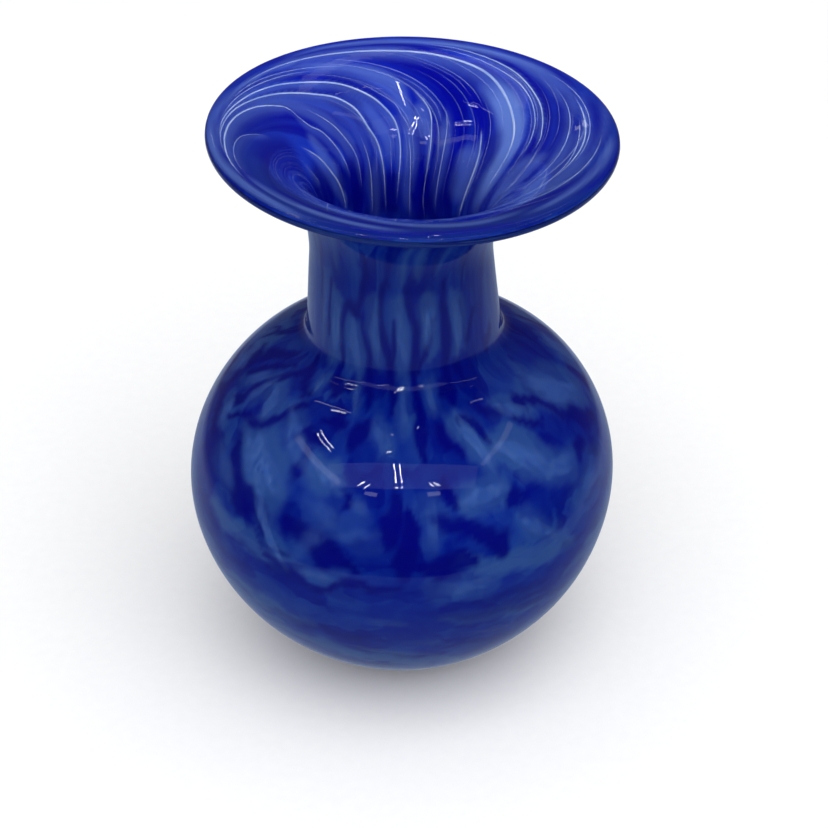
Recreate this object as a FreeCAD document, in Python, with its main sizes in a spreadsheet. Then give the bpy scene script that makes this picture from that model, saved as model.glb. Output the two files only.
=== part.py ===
import FreeCAD, Part
import math
import os
import Sketcher

# Hand blown glass vase: a round body, a short neck and a wide trumpet mouth.
# The glass is laid up in fused layers, and every layer is its own solid.
# Axis of the vase on +Z, underside of the resting ring on Z = 0, millimetres.

DRIVING = {
    "body_radius": 63.0,      # outside of the body at its widest
    "belly_height": 55.2,     # height of the widest point
    "belly_arc": 50.0,        # profile radius at the widest point
    "shoulder_arc": 66.4,     # flatter profile radius of the shoulder
    "shoulder_angle": 48.7,   # where the belly arc hands over to the shoulder
    "under_arc": 62.3,        # profile radius below the belly
    "under_angle": 12.5,      # where the belly arc hands over to the underside
    "foot_round": 6.0,        # rounding at the edge of the resting ring
    "collar_fillet": 7.8,     # hollow between shoulder and neck
    "neck_lean": 4.5,         # the neck narrows upwards by this angle
    "throat_radius": 26.1,    # outside of the neck at its narrowest
    "throat_height": 133.6,   # height of the narrowest point
    "flare_arc": 32.8,        # profile radius of the trumpet mouth
    "flare_sweep": 85.0,      # how far the mouth turns outwards
    "colour_wrap": 2.0,       # how far the coloured glass turns into the lip
    "core_short": 1.5,        # how far the inner glass stops short of the lip
    "casing_wall": 2.2,       # outer clear glass
    "cobalt_wall": 0.8,       # coloured glass
    "core_wall": 1.2,         # inner clear glass
    "floor_height": 7.0,      # top of the casing inside the base
    "floor_round": 14.0,      # rounding inside the base
    "kick_radius": 18.5,      # inner edge of the resting ring
    "kick_rise": 3.6,         # depth of the hollow under the base
    "pontil_radius": 9.0,     # glass left where the pontil rod was cracked off
    "pontil_drop": 1.3,       # how far the pontil glass stands out of the hollow
    "chip_wall": 0.4,         # thickness of the frit chips
    "chip_radius": 8.0,       # size of the largest frit chips
    "trail_wall": 0.4,        # thickness of the drawn trails
    "trail_width": 1.1,       # width of the drawn trails
    "trail_foot": 109.0,      # height at which each trail begins
    "trail_start": 20.0,      # radius at which each trail begins
    "trail_bend": 38.0,       # plan radius of a trail as it swirls outwards
    "trail_turn": 47.0,       # angle that a trail turns through
    "trail_count": 18,
}

BELLY_CHIPS = (
    # (elevation on the belly, number of chips, turn of the row)
    (-34.0, 11, 9.0),
    (-6.0, 13, 0.0),
    (22.0, 12, 14.0),
)
CHIP_SWAY = 5.0        # how far the rows of chips wander up and down, in degrees
CHIP_SWAYS = 3.0       # how often they wander on the way round
CHIP_MEAN = 0.78       # mean size of a chip beside the largest
CHIP_SPREAD = 0.22     # how much the sizes differ
CHIP_SIZES = 5.0       # how often the sizes repeat on the way round
ROD_START = 0.82       # where the chip rods begin, as a share of the belly arc
ROD_SHARE = 0.3        # length of the chip rods, as a share of the belly arc

doc = FreeCAD.newDocument("vase")
sheet = doc.addObject("Spreadsheet::Sheet", "dims")
for row, (alias, value) in enumerate(DRIVING.items(), start=1):
    sheet.set("A%d" % row, alias)
    sheet.set("B%d" % row, str(value))
    sheet.setAlias("B%d" % row, alias)
doc.recompute()


def dim(alias):
    """Value of one driving dimension."""
    return float(sheet.get(alias))


def polar(centre, radius, degrees):
    """Point at a radius and angle about a centre, in profile coordinates."""
    angle = math.radians(degrees)
    x = centre[0] + radius * math.cos(angle)
    y = centre[1] + radius * math.sin(angle)
    return (x, y)


def bearing(start, end):
    """Angle in degrees of the line from one profile point to another."""
    return math.degrees(math.atan2(end[1] - start[1], end[0] - start[0]))


# Centres of the profile arcs. All layers share them, because each layer is an
# offset of the outside: convex arcs shrink and hollow arcs grow with depth.
BELLY = (dim("body_radius") - dim("belly_arc"), dim("belly_height"))
SHOULDER = polar(BELLY, dim("belly_arc") - dim("shoulder_arc"), dim("shoulder_angle"))
UNDER = polar(BELLY, dim("belly_arc") - dim("under_arc"), -dim("under_angle"))
FLARE = (dim("throat_radius") + dim("flare_arc"), dim("throat_height"))

LEAN = math.radians(dim("neck_lean"))
ACROSS = (math.cos(LEAN), math.sin(LEAN))
ALONG = (-math.sin(LEAN), math.cos(LEAN))
FROM_SHOULDER = (FLARE[0] - SHOULDER[0], FLARE[1] - SHOULDER[1])
SIDEWAYS = (FROM_SHOULDER[0] * ACROSS[0] + FROM_SHOULDER[1] * ACROSS[1]
            - dim("flare_arc") + dim("collar_fillet"))
UPWARDS = math.sqrt((dim("shoulder_arc") + dim("collar_fillet")) ** 2 - SIDEWAYS ** 2)
COLLAR = (SHOULDER[0] + SIDEWAYS * ACROSS[0] + UPWARDS * ALONG[0],
          SHOULDER[1] + SIDEWAYS * ACROSS[1] + UPWARDS * ALONG[1])
COLLAR_BEARING = bearing(SHOULDER, COLLAR)

CASING_DEPTH = dim("casing_wall")
COBALT_DEPTH = CASING_DEPTH + dim("cobalt_wall")
COBALT_FORMULA = "dims.casing_wall + dims.cobalt_wall"
FULL_WALL = COBALT_DEPTH + dim("core_wall")
RIM_SWEEP = dim("flare_sweep")
COLOUR_SWEEP = RIM_SWEEP + dim("colour_wrap")
COLOUR_TURN = "dims.flare_sweep + dims.colour_wrap"
CORE_SWEEP = RIM_SWEEP - dim("core_short")
CORE_TURN = "dims.flare_sweep - dims.core_short"


class Profile:
    """A closed sketch in the XZ plane of a body, built up edge by edge."""

    def __init__(self, name):
        self.body = doc.addObject("PartDesign::Body", name)
        self.sketch = self.body.newObject("Sketcher::SketchObject", name + "_profile")
        self.sketch.AttachmentSupport = [(self.plane("XZ_Plane"), "")]
        self.sketch.MapMode = "FlatFace"

    def plane(self, role):
        """One of the body's own origin planes."""
        return [f for f in self.body.Origin.OriginFeatures if f.Role == role][0]

    def line(self, start, end):
        """Add a straight edge."""
        edge = Part.LineSegment(FreeCAD.Vector(start[0], start[1], 0),
                                FreeCAD.Vector(end[0], end[1], 0))
        return self.sketch.addGeometry(edge, False)

    def arc(self, centre, radius, first, last):
        """Add an arc running anticlockwise between two angles in degrees."""
        circle = Part.Circle(FreeCAD.Vector(centre[0], centre[1], 0),
                             FreeCAD.Vector(0, 0, 1), radius)
        edge = Part.ArcOfCircle(circle, math.radians(first), math.radians(last))
        return self.sketch.addGeometry(edge, False)

    def tie(self, kind, *where):
        """Add a constraint that has no size."""
        self.sketch.addConstraint(Sketcher.Constraint(kind, *where))

    def size(self, name, kind, where, value, formula):
        """Add a sized constraint and bind it to the sheet."""
        index = self.sketch.addConstraint(Sketcher.Constraint(kind, *where, value))
        self.sketch.renameConstraint(index, name)
        self.sketch.setExpression("Constraints." + name, formula)

    def revolve(self):
        """Turn the profile round the axis of the vase."""
        turned = self.body.newObject("PartDesign::Revolution", self.body.Name + "_turned")
        turned.Profile = self.sketch
        turned.ReferenceAxis = (self.sketch, ["V_Axis"])
        turned.Angle = 360.0
        self.sketch.Visibility = False
        return self.body


def wall(profile, tag, depth, deep, floor, sunk, rounding, sweep, turned_to, ring=None):
    """Add one surface of the vase, from the floor up to the mouth.

    depth, floor, rounding and sweep are numbers, and deep, sunk and turned_to
    are the same things as formulas. ring is the inner edge of a resting ring.
    Returns the floor line and the flare arc.
    """
    under_radius = dim("under_arc") - depth
    round_size = dim(rounding)
    foot_height = floor + round_size
    reach = (under_radius - round_size) ** 2 - (UNDER[1] - foot_height) ** 2
    foot = (UNDER[0] + math.sqrt(reach), foot_height)
    foot_bearing = bearing(UNDER, foot)
    lean = dim("neck_lean")
    hollow = dim("collar_fillet") + depth
    mouth = dim("flare_arc") + depth

    start = ring or 0.0
    base = profile.line((start, floor), (foot[0], floor))
    heel = profile.arc(foot, round_size, -90.0, foot_bearing)
    under = profile.arc(UNDER, under_radius, foot_bearing, -dim("under_angle"))
    belly = profile.arc(BELLY, dim("belly_arc") - depth,
                        -dim("under_angle"), dim("shoulder_angle"))
    shoulder = profile.arc(SHOULDER, dim("shoulder_arc") - depth,
                           dim("shoulder_angle"), COLLAR_BEARING)
    collar = profile.arc(COLLAR, hollow, 180.0 + lean, 180.0 + COLLAR_BEARING)
    neck = profile.line(polar(COLLAR, hollow, 180.0 + lean),
                        polar(FLARE, mouth, 180.0 + lean))
    flare = profile.arc(FLARE, mouth, 180.0 - sweep, 180.0 + lean)

    profile.tie("Tangent", base, 2, heel, 1)
    profile.tie("Tangent", heel, 2, under, 1)
    profile.tie("Tangent", under, 2, belly, 1)
    profile.tie("Tangent", belly, 2, shoulder, 1)
    profile.tie("Tangent", shoulder, 2, collar, 2)
    profile.tie("Tangent", collar, 1, neck, 1)
    profile.tie("Tangent", neck, 2, flare, 2)
    profile.tie("Horizontal", base)

    profile.size(tag + "_heel", "Radius", (heel,), round_size, "dims." + rounding)
    profile.size(tag + "_under", "Radius", (under,), under_radius,
                 "dims.under_arc - (%s)" % deep)
    profile.size(tag + "_under_up", "DistanceY", (under, 3), UNDER[1],
                 "dims.belly_height + (dims.under_arc - dims.belly_arc)"
                 " * sin(dims.under_angle)")
    profile.size(tag + "_belly", "Radius", (belly,), dim("belly_arc") - depth,
                 "dims.belly_arc - (%s)" % deep)
    profile.size(tag + "_belly_out", "DistanceX", (belly, 3), BELLY[0],
                 "dims.body_radius - dims.belly_arc")
    profile.size(tag + "_belly_up", "DistanceY", (belly, 3), BELLY[1],
                 "dims.belly_height")
    profile.size(tag + "_shoulder", "Radius", (shoulder,), dim("shoulder_arc") - depth,
                 "dims.shoulder_arc - (%s)" % deep)
    profile.size(tag + "_shoulder_up", "DistanceY", (shoulder, 3), SHOULDER[1],
                 "dims.belly_height - (dims.shoulder_arc - dims.belly_arc)"
                 " * sin(dims.shoulder_angle)")
    profile.size(tag + "_collar", "Radius", (collar,), hollow,
                 "dims.collar_fillet + %s" % deep)
    profile.size(tag + "_neck", "Angle", (neck,), math.radians(90.0 + lean),
                 "90 + dims.neck_lean")
    profile.size(tag + "_flare", "Radius", (flare,), mouth, "dims.flare_arc + %s" % deep)
    profile.size(tag + "_flare_out", "DistanceX", (flare, 3), FLARE[0],
                 "dims.throat_radius + dims.flare_arc")
    profile.size(tag + "_flare_up", "DistanceY", (flare, 3), FLARE[1],
                 "dims.throat_height")
    profile.size(tag + "_mouth", "DistanceX", (flare, 1),
                 polar(FLARE, mouth, 180.0 - sweep)[0],
                 "dims.throat_radius + dims.flare_arc - (dims.flare_arc + %s)"
                 " * cos(%s)" % (deep, turned_to))
    if floor > 0.0:
        profile.size(tag + "_floor", "DistanceY", (base, 1), floor, sunk)
    else:
        profile.tie("PointOnObject", base, 1, -1)
    if ring:
        profile.size(tag + "_ring", "DistanceX", (base, 1), ring, "dims.kick_radius")
    else:
        profile.tie("PointOnObject", base, 1, -2)
    return base, flare


def layer(name, outer, outer_formula, inner, inner_formula, sweep, turned_to):
    """Body of one layer of glass between two depths below the outside."""
    profile = Profile(name)
    bases = []
    flares = []
    for tag, depth, deep in (("out", outer, outer_formula), ("in", inner, inner_formula)):
        floor = dim("floor_height") + depth - dim("casing_wall")
        sunk = "dims.floor_height + %s - dims.casing_wall" % deep
        base, flare = wall(profile, tag, depth, deep, floor, sunk, "floor_round",
                           sweep, turned_to)
        bases.append((base, floor))
        flares.append((flare, polar(FLARE, dim("flare_arc") + depth, 180.0 - sweep)))
    axis = profile.line((0.0, bases[0][1]), (0.0, bases[1][1]))
    end = profile.line(flares[0][1], flares[1][1])
    profile.tie("Coincident", axis, 1, bases[0][0], 1)
    profile.tie("Coincident", axis, 2, bases[1][0], 1)
    profile.tie("Coincident", end, 1, flares[0][0], 1)
    profile.tie("Coincident", end, 2, flares[1][0], 1)
    return profile.revolve()


def casing():
    """Body of the outer clear glass, with its resting ring and rounded lip.

    The lip folds over the end of the coloured glass and meets the inner glass.
    """
    profile = Profile("casing_shell")
    depth = dim("casing_wall")
    base, flare = wall(profile, "out", 0.0, "0", 0.0, "0", "foot_round",
                       RIM_SWEEP, "dims.flare_sweep", dim("kick_radius"))
    floor, inside = wall(profile, "in", depth, "dims.casing_wall", dim("floor_height"),
                         "dims.floor_height", "floor_round", COLOUR_SWEEP, COLOUR_TURN)

    lip_centre = polar(FLARE, dim("flare_arc") + FULL_WALL / 2, 180.0 - RIM_SWEEP)
    lip = profile.arc(lip_centre, FULL_WALL / 2, -RIM_SWEEP, 180.0 - RIM_SWEEP)
    thick = "dims.casing_wall + dims.cobalt_wall + dims.core_wall"
    mouth = dim("flare_arc") + FULL_WALL
    back = dim("flare_arc") + depth + dim("cobalt_wall")
    core_end = 180.0 - CORE_SWEEP
    colour_end = 180.0 - COLOUR_SWEEP
    edge = profile.arc(FLARE, mouth, 180.0 - RIM_SWEEP, core_end)
    seat = profile.line(polar(FLARE, mouth, core_end), polar(FLARE, back, core_end))
    fold = profile.arc(FLARE, back, colour_end, core_end)
    cap = profile.line(polar(FLARE, back, colour_end),
                       polar(FLARE, dim("flare_arc") + depth, colour_end))
    profile.tie("Tangent", flare, 1, lip, 1)
    profile.tie("Tangent", lip, 2, edge, 1)
    profile.tie("Coincident", edge, 3, flare, 3)
    profile.tie("Coincident", fold, 3, flare, 3)
    profile.tie("Coincident", seat, 1, edge, 2)
    profile.tie("Coincident", seat, 2, fold, 2)
    profile.tie("Coincident", cap, 1, fold, 1)
    profile.tie("Coincident", cap, 2, inside, 1)
    profile.size("edge_reach", "Radius", (edge,), mouth, "dims.flare_arc + " + thick)
    profile.size("fold_reach", "Radius", (fold,), back,
                 "dims.flare_arc + dims.casing_wall + dims.cobalt_wall")
    for tag, arc, place, radius, sweep, turned_to, reach in (
            ("edge", edge, 2, mouth, CORE_SWEEP, CORE_TURN, thick),
            ("fold", fold, 2, back, CORE_SWEEP, CORE_TURN, COBALT_FORMULA),
            ("cap", fold, 1, back, COLOUR_SWEEP, COLOUR_TURN, COBALT_FORMULA)):
        profile.size(tag + "_out", "DistanceX", (arc, place),
                     polar(FLARE, radius, 180.0 - sweep)[0],
                     "dims.throat_radius + dims.flare_arc - (dims.flare_arc + %s)"
                     " * cos(%s)" % (reach, turned_to))

    chord = dim("kick_radius")
    rise = dim("kick_rise")
    kick_arc = (chord ** 2 + rise ** 2) / (2 * rise)
    spread = math.degrees(math.asin(chord / kick_arc))
    kick = profile.arc((0.0, rise - kick_arc), kick_arc, 90.0 - spread, 90.0)
    axis = profile.line((0.0, rise), (0.0, dim("floor_height")))
    profile.tie("Coincident", kick, 1, base, 1)
    profile.tie("Coincident", kick, 2, axis, 1)
    profile.tie("Coincident", axis, 2, floor, 1)
    profile.tie("Vertical", axis)
    profile.tie("PointOnObject", kick, 3, -2)
    profile.size("kick_up", "DistanceY", (axis, 1), rise, "dims.kick_rise")
    return profile.revolve()


def pontil():
    """Body of the glass left in the hollow under the base."""
    profile = Profile("pontil_seal")
    chord = dim("kick_radius")
    rise = dim("kick_rise")
    kick_arc = (chord ** 2 + rise ** 2) / (2 * rise)
    reach = dim("pontil_radius")
    spread = math.degrees(math.asin(reach / kick_arc))
    edge = polar((0.0, rise - kick_arc), kick_arc, 90.0 - spread)
    low = rise - dim("pontil_drop")
    sag = edge[1] - low
    drop_arc = (reach ** 2 + sag ** 2) / (2 * sag)
    fan = math.degrees(math.asin(reach / drop_arc))
    roof = profile.arc((0.0, rise - kick_arc), kick_arc, 90.0 - spread, 90.0)
    drop = profile.arc((0.0, low + drop_arc), drop_arc, -90.0, fan - 90.0)
    axis = profile.line((0.0, low), (0.0, rise))
    profile.tie("Coincident", roof, 2, axis, 2)
    profile.tie("Coincident", drop, 1, axis, 1)
    profile.tie("Coincident", roof, 1, drop, 2)
    profile.tie("Vertical", axis)
    profile.tie("PointOnObject", roof, 3, -2)
    profile.tie("PointOnObject", drop, 3, -2)
    profile.tie("PointOnObject", axis, 1, -2)
    profile.size("roof_up", "DistanceY", (axis, 2), rise, "dims.kick_rise")
    profile.size("drop_down", "DistanceY", (axis, 1), low,
                 "dims.kick_rise - dims.pontil_drop")
    profile.size("roof_reach", "Radius", (roof,), kick_arc,
                 "(dims.kick_radius ^ 2 + dims.kick_rise ^ 2) / (2 * dims.kick_rise)")
    profile.size("edge_out", "DistanceX", (roof, 1), reach, "dims.pontil_radius")
    return profile.revolve()


def chip_cutters():
    """Rods through the belly, one for every chip of frit."""
    rods = []
    for elevation, count, turn in BELLY_CHIPS:
        for number in range(count):
            heading = math.radians(turn + 360.0 * number / count)
            sway = CHIP_SWAY * math.sin(CHIP_SWAYS * heading + elevation)
            tilt = math.radians(elevation + sway)
            share = CHIP_MEAN + CHIP_SPREAD * math.sin(CHIP_SIZES * heading + elevation)
            outward = FreeCAD.Vector(math.cos(tilt) * math.cos(heading),
                                     math.cos(tilt) * math.sin(heading),
                                     math.sin(tilt))
            hub = FreeCAD.Vector(BELLY[0] * math.cos(heading),
                                 BELLY[0] * math.sin(heading), BELLY[1])
            rod = doc.addObject("Part::Cylinder", "chip_rod")
            rod.setExpression("Radius", "dims.chip_radius * %.3f" % share)
            rod.setExpression("Height", "dims.belly_arc * %.3f" % ROD_SHARE)
            rod.Placement = FreeCAD.Placement(
                hub + outward * (ROD_START * dim("belly_arc")),
                FreeCAD.Rotation(FreeCAD.Vector(0, 0, 1), outward))
            rods.append(rod)
    cutters = doc.addObject("Part::Compound", "chip_rods")
    cutters.Links = rods
    return cutters


def trail_cutters():
    """Upright swirled blades, one for every trail drawn through the mouth."""
    profile = Profile("trail_blades")
    sketch = profile.sketch
    sketch.AttachmentSupport = [(profile.plane("XY_Plane"), "")]
    sketch.setExpression("AttachmentOffset.Base.z", "dims.trail_foot")
    half = dim("trail_width") / 2
    bend = dim("trail_bend")
    centre = (dim("trail_start"), bend)
    turn = dim("trail_turn") - 90.0
    near = profile.arc(centre, bend - half, -90.0, turn)
    far = profile.arc(centre, bend + half, -90.0, turn)
    root = profile.line(polar(centre, bend - half, -90.0), polar(centre, bend + half, -90.0))
    tip = profile.line(polar(centre, bend - half, turn), polar(centre, bend + half, turn))
    for arc in (near, far):
        place = 1 if arc == near else 2
        profile.tie("Coincident", root, place, arc, 1)
        profile.tie("Coincident", tip, place, arc, 2)
    profile.tie("Coincident", near, 3, far, 3)
    profile.tie("Vertical", root)
    profile.size("near_bend", "Radius", (near,), bend - half,
                 "dims.trail_bend - dims.trail_width / 2")
    profile.size("far_bend", "Radius", (far,), bend + half,
                 "dims.trail_bend + dims.trail_width / 2")
    profile.size("centre_out", "DistanceX", (near, 3), centre[0], "dims.trail_start")
    profile.size("centre_up", "DistanceY", (near, 3), centre[1], "dims.trail_bend")
    profile.size("tip_slope", "Angle", (tip,), math.radians(turn), "dims.trail_turn - 90")
    blade = profile.body.newObject("PartDesign::Pad", "trail_blade")
    blade.Profile = sketch
    blade.setExpression("Length", "2 * dims.flare_arc")
    sketch.Visibility = False
    doc.recompute()
    swirl = profile.body.newObject("PartDesign::PolarPattern", "trail_swirl")
    swirl.Originals = [blade]
    swirl.Axis = (sketch, ["N_Axis"])
    swirl.Angle = 360.0
    swirl.setExpression("Occurrences", "dims.trail_count")
    profile.body.Tip = swirl
    return profile.body


def combine(kind, name, base, tool):
    """Boolean of two objects."""
    result = doc.addObject(kind, name)
    result.Base = base
    result.Tool = tool
    return result


cobalt_blank = layer("cobalt_blank", CASING_DEPTH, "dims.casing_wall",
                     COBALT_DEPTH, COBALT_FORMULA, COLOUR_SWEEP, COLOUR_TURN)
core_blank = layer("core_blank", COBALT_DEPTH, COBALT_FORMULA,
                   FULL_WALL, COBALT_FORMULA + " + dims.core_wall", CORE_SWEEP, CORE_TURN)
chip_band = layer("chip_band", CASING_DEPTH, "dims.casing_wall",
                  CASING_DEPTH + dim("chip_wall"), "dims.casing_wall + dims.chip_wall",
                  COLOUR_SWEEP, COLOUR_TURN)
trail_band = layer("trail_band", COBALT_DEPTH, COBALT_FORMULA,
                   COBALT_DEPTH + dim("trail_wall"), COBALT_FORMULA + " + dims.trail_wall",
                   CORE_SWEEP, CORE_TURN)

chips = combine("Part::Common", "frit_chips", chip_band, chip_cutters())
trails = combine("Part::Common", "drawn_trails", trail_band, trail_cutters())
clear_casing = casing()
cobalt = combine("Part::Cut", "cobalt_layer", cobalt_blank, chips)
inner_core = combine("Part::Cut", "inner_core", core_blank, trails)
pontil_seal = pontil()

SUBPARTS = (
    (clear_casing, "clear_casing"),
    (chips, "frit_chips"),
    (cobalt, "cobalt_layer"),
    (trails, "drawn_trails"),
    (inner_core, "inner_core"),
    (pontil_seal, "pontil_seal"),
)

doc.recompute()
for item, label in SUBPARTS:
    item.Label = label

for item in doc.Objects:
    if "Invalid" in item.State or "Error" in item.State:
        raise RuntimeError("%s did not recompute: %s" % (item.Name, item.State))

for item, label in SUBPARTS:
    if item.Shape.isNull() or not item.Shape.isValid():
        raise RuntimeError("%s has no valid shape" % label)

os.makedirs("parts", exist_ok=True)
for item, label in SUBPARTS:
    item.Shape.exportStep("parts/%s.step" % label)
    print(label, len(item.Shape.Solids), round(item.Shape.Volume, 1), item.Shape.BoundBox)
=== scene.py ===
import math

import bpy
import numpy as np
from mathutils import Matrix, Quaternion, Vector


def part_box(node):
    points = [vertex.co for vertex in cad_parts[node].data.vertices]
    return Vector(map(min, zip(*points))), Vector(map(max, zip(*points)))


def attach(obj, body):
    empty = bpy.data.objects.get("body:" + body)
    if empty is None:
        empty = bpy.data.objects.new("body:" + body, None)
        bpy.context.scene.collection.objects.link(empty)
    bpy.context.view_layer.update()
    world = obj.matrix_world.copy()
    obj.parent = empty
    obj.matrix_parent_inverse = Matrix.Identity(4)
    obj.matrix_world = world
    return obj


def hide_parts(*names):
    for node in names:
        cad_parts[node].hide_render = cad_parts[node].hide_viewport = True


# Hand blown glass vase in fused layers: a clear casing outside, coloured glass
# with melted frit and dark veins, pale drawn threads and a clear core inside.
# Lengths along the wall are in millimetres and angles in degrees. Azimuth runs
# anticlockwise seen from above, from 0 on +X, so the camera is at -90.

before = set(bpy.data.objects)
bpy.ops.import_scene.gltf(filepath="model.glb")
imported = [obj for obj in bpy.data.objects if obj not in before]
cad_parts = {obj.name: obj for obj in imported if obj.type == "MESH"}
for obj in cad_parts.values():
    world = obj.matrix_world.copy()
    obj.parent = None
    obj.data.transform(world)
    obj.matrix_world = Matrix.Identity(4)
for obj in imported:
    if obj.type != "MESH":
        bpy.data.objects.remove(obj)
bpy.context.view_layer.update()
rng = np.random.default_rng(41)
MM = 0.001

# --------------------------------------------------------------- the profile
CASING_WALL = 2.2
COBALT_WALL = 0.8
CORE_WALL = 1.2
FULL_WALL = CASING_WALL + COBALT_WALL + CORE_WALL
HEEL_ROUND = 6.0
FLOOR_HEIGHT = 7.0
FLOOR_ROUND = 14.0
KICK_RADIUS = 18.5
KICK_RISE = 3.6
UNDER_TURN = -12.5
SHOULDER_TURN = 48.7
NECK_TURN = 184.5
RIM_TURN = 96.5
COLOUR_TURN = 94.4
CORE_TURN = 98.0
UNDER_ARC = 62.3
BELLY_ARC = 50.0
SHOULDER_ARC = 66.4
COLLAR_ARC = 7.8
FLARE_ARC = 32.8
ORIGIN_TURN = -66.0
TRUMPET_FOOT = 134.0
PAST_RIM = 214.0
COLUMNS = 300
COBALT_COLUMNS = 400

# Hand work: the lean of shoulder and mouth in mm, the tilt of the mouth in degrees
# and the heights between which the mouth's share of them comes in.
SHOULDER_SHIFT = 1.1
SHOULDER_HEIGHT = 92.0
SHOULDER_SPREAD = 27.0
MOUTH_SHIFT = 3.2
MOUTH_TILT = 1.64
MOUTH_SAG = 0.39
MOUTH_FOOT = 134.5
MOUTH_RISE = 34.35


def polar(centre, radius, degrees):
    """Points at a radius and angle about a centre of the profile."""
    turn = np.radians(degrees)
    return np.stack([centre[0] + radius * np.cos(turn), centre[1] + radius * np.sin(turn)], -1)


BELLY = np.array([13.0, 55.2])
SHOULDER = polar(BELLY, BELLY_ARC - SHOULDER_ARC, SHOULDER_TURN)
UNDER = polar(BELLY, BELLY_ARC - UNDER_ARC, UNDER_TURN)
FLARE = np.array([58.9, 133.6])
across = polar((0.0, 0.0), 1.0, NECK_TURN - 180.0)
along = polar((0.0, 0.0), 1.0, NECK_TURN - 90.0)
sideways = (FLARE - SHOULDER) @ across - FLARE_ARC + COLLAR_ARC
upwards = math.sqrt((SHOULDER_ARC + COLLAR_ARC) ** 2 - sideways ** 2)
COLLAR = SHOULDER + sideways * across + upwards * along
COLLAR_TURN = math.degrees(math.atan2(*(COLLAR - SHOULDER)[::-1]))


def foot(depth, rounding):
    """Centre and end angle of the rounding between a floor and the wall above it."""
    floor = 0.0 if depth == 0.0 else FLOOR_HEIGHT + depth - CASING_WALL
    height = floor + rounding
    reach = math.sqrt((UNDER_ARC - depth - rounding) ** 2 - (UNDER[1] - height) ** 2)
    centre = np.array([UNDER[0] + reach, height])
    return centre, math.degrees(math.atan2(height - UNDER[1], reach))


def trace():
    """The outside from the resting ring to the lip: length, point and outward normal."""
    heel, heel_turn = foot(0.0, HEEL_ROUND)
    steps_per_arc = 400
    arcs = [
        # centre, radius, first angle, last angle, side the glass faces
        (heel, HEEL_ROUND, -90.0, heel_turn, 1.0),
        (UNDER, UNDER_ARC, heel_turn, UNDER_TURN, 1.0),
        (BELLY, BELLY_ARC, UNDER_TURN, SHOULDER_TURN, 1.0),
        (SHOULDER, SHOULDER_ARC, SHOULDER_TURN, COLLAR_TURN, 1.0),
        (COLLAR, COLLAR_ARC, 180.0 + COLLAR_TURN, NECK_TURN, -1.0),
        (FLARE, FLARE_ARC, NECK_TURN, 90.0, -1.0),
    ]
    points, normals = [], []
    for centre, radius, first, last, side in arcs:
        turns = np.linspace(first, last, steps_per_arc)
        points.append(polar(centre, radius, turns))
        normals.append(side * polar((0.0, 0.0), 1.0, turns))
    points, normals = np.concatenate(points), np.concatenate(normals)
    steps = np.hypot(*np.diff(points, axis=0).T)
    length = np.concatenate([[0.0], np.cumsum(steps)])
    keep = np.concatenate([[True], steps > 1e-6])
    start = math.radians(ORIGIN_TURN - heel_turn) * UNDER_ARC + length[steps_per_arc - 1]
    return length[keep] - start, points[keep], normals[keep]


LENGTH, POINTS, NORMALS = trace()


def at(station, depth):
    """Radius and height of the glass at a length along the wall and a depth below the outside."""
    point = [np.interp(station, LENGTH, POINTS[:, k]) for k in (0, 1)]
    normal = [np.interp(station, LENGTH, NORMALS[:, k]) for k in (0, 1)]
    size = np.hypot(*normal)
    return point[0] - depth * normal[0] / size, point[1] - depth * normal[1] / size


def flare_station(turn):
    """Length along the wall at an angle of the trumpet mouth."""
    return LENGTH[-1] - math.radians(turn - 90.0) * FLARE_ARC


def heel_station(depth):
    """Length along the wall where an inside surface leaves the rounding of its floor."""
    return math.radians(foot(depth, FLOOR_ROUND)[1] - ORIGIN_TURN) * UNDER_ARC


def smooth(value):
    """Eases 0..1 in and out."""
    value = np.clip(value, 0.0, 1.0)
    return value * value * (3.0 - 2.0 * value)


def settle(radius, azimuth, height):
    """Places wall points in metres, with the slight lean and unevenness of hand work."""
    turn = np.radians(azimuth)
    uneven = 0.10 * np.sin(2 * turn + 0.6 + height / 37.0) + 0.07 * np.sin(3 * turn - height / 19.0)
    uneven = uneven + 0.05 * np.sin(5 * turn + height / 9.0 + 1.3)
    radius = radius + uneven * smooth(radius / 20.0) * smooth((height - 1.0) / 12.0)
    x, y = radius * np.cos(turn), radius * np.sin(turn)
    mouth = smooth((height - MOUTH_FOOT) / MOUTH_RISE)
    shoulder = np.exp(-((height - SHOULDER_HEIGHT) / SHOULDER_SPREAD) ** 2)
    shift = SHOULDER_SHIFT * shoulder + MOUTH_SHIFT * mouth
    sag = math.tan(math.radians(MOUTH_SAG)) * radius * np.cos(2 * turn)
    droop = math.tan(math.radians(MOUTH_TILT)) * x - sag
    return np.stack([x + shift, y, height - droop * mouth], -1) * MM


# ------------------------------------------------------------- mesh building
def mesh_object(name, verts, faces, slots=None, materials=(), sharp=40.0):
    """A smooth shaded mesh piece. slots holds the material of each face."""
    mesh = bpy.data.meshes.new(name)
    mesh.from_pydata(verts.tolist(), [], faces)
    mesh.update()
    mesh.shade_smooth()
    mesh.set_sharp_from_angle(angle=math.radians(sharp))
    for material in materials:
        mesh.materials.append(material)
    if slots is not None:
        mesh.polygons.foreach_set("material_index", np.asarray(slots, dtype=np.int32))
    piece = bpy.data.objects.new(name, mesh)
    bpy.context.scene.collection.objects.link(piece)
    return piece


def note(piece, name, values):
    """Stores one number or vector per vertex for the material to read."""
    values = np.asarray(values, dtype=np.float32)
    kind = "FLOAT" if values.ndim == 1 else "FLOAT_VECTOR"
    layer = piece.data.attributes.new(name, kind, "POINT")
    layer.data.foreach_set("value" if kind == "FLOAT" else "vector", values.ravel())


def round_ring(columns, flip):
    """The vertices of a ring and the ones after them, or the other way round."""
    here = np.arange(columns)
    after = (here + 1) % columns
    return (after, here) if flip else (here, after)


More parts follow.
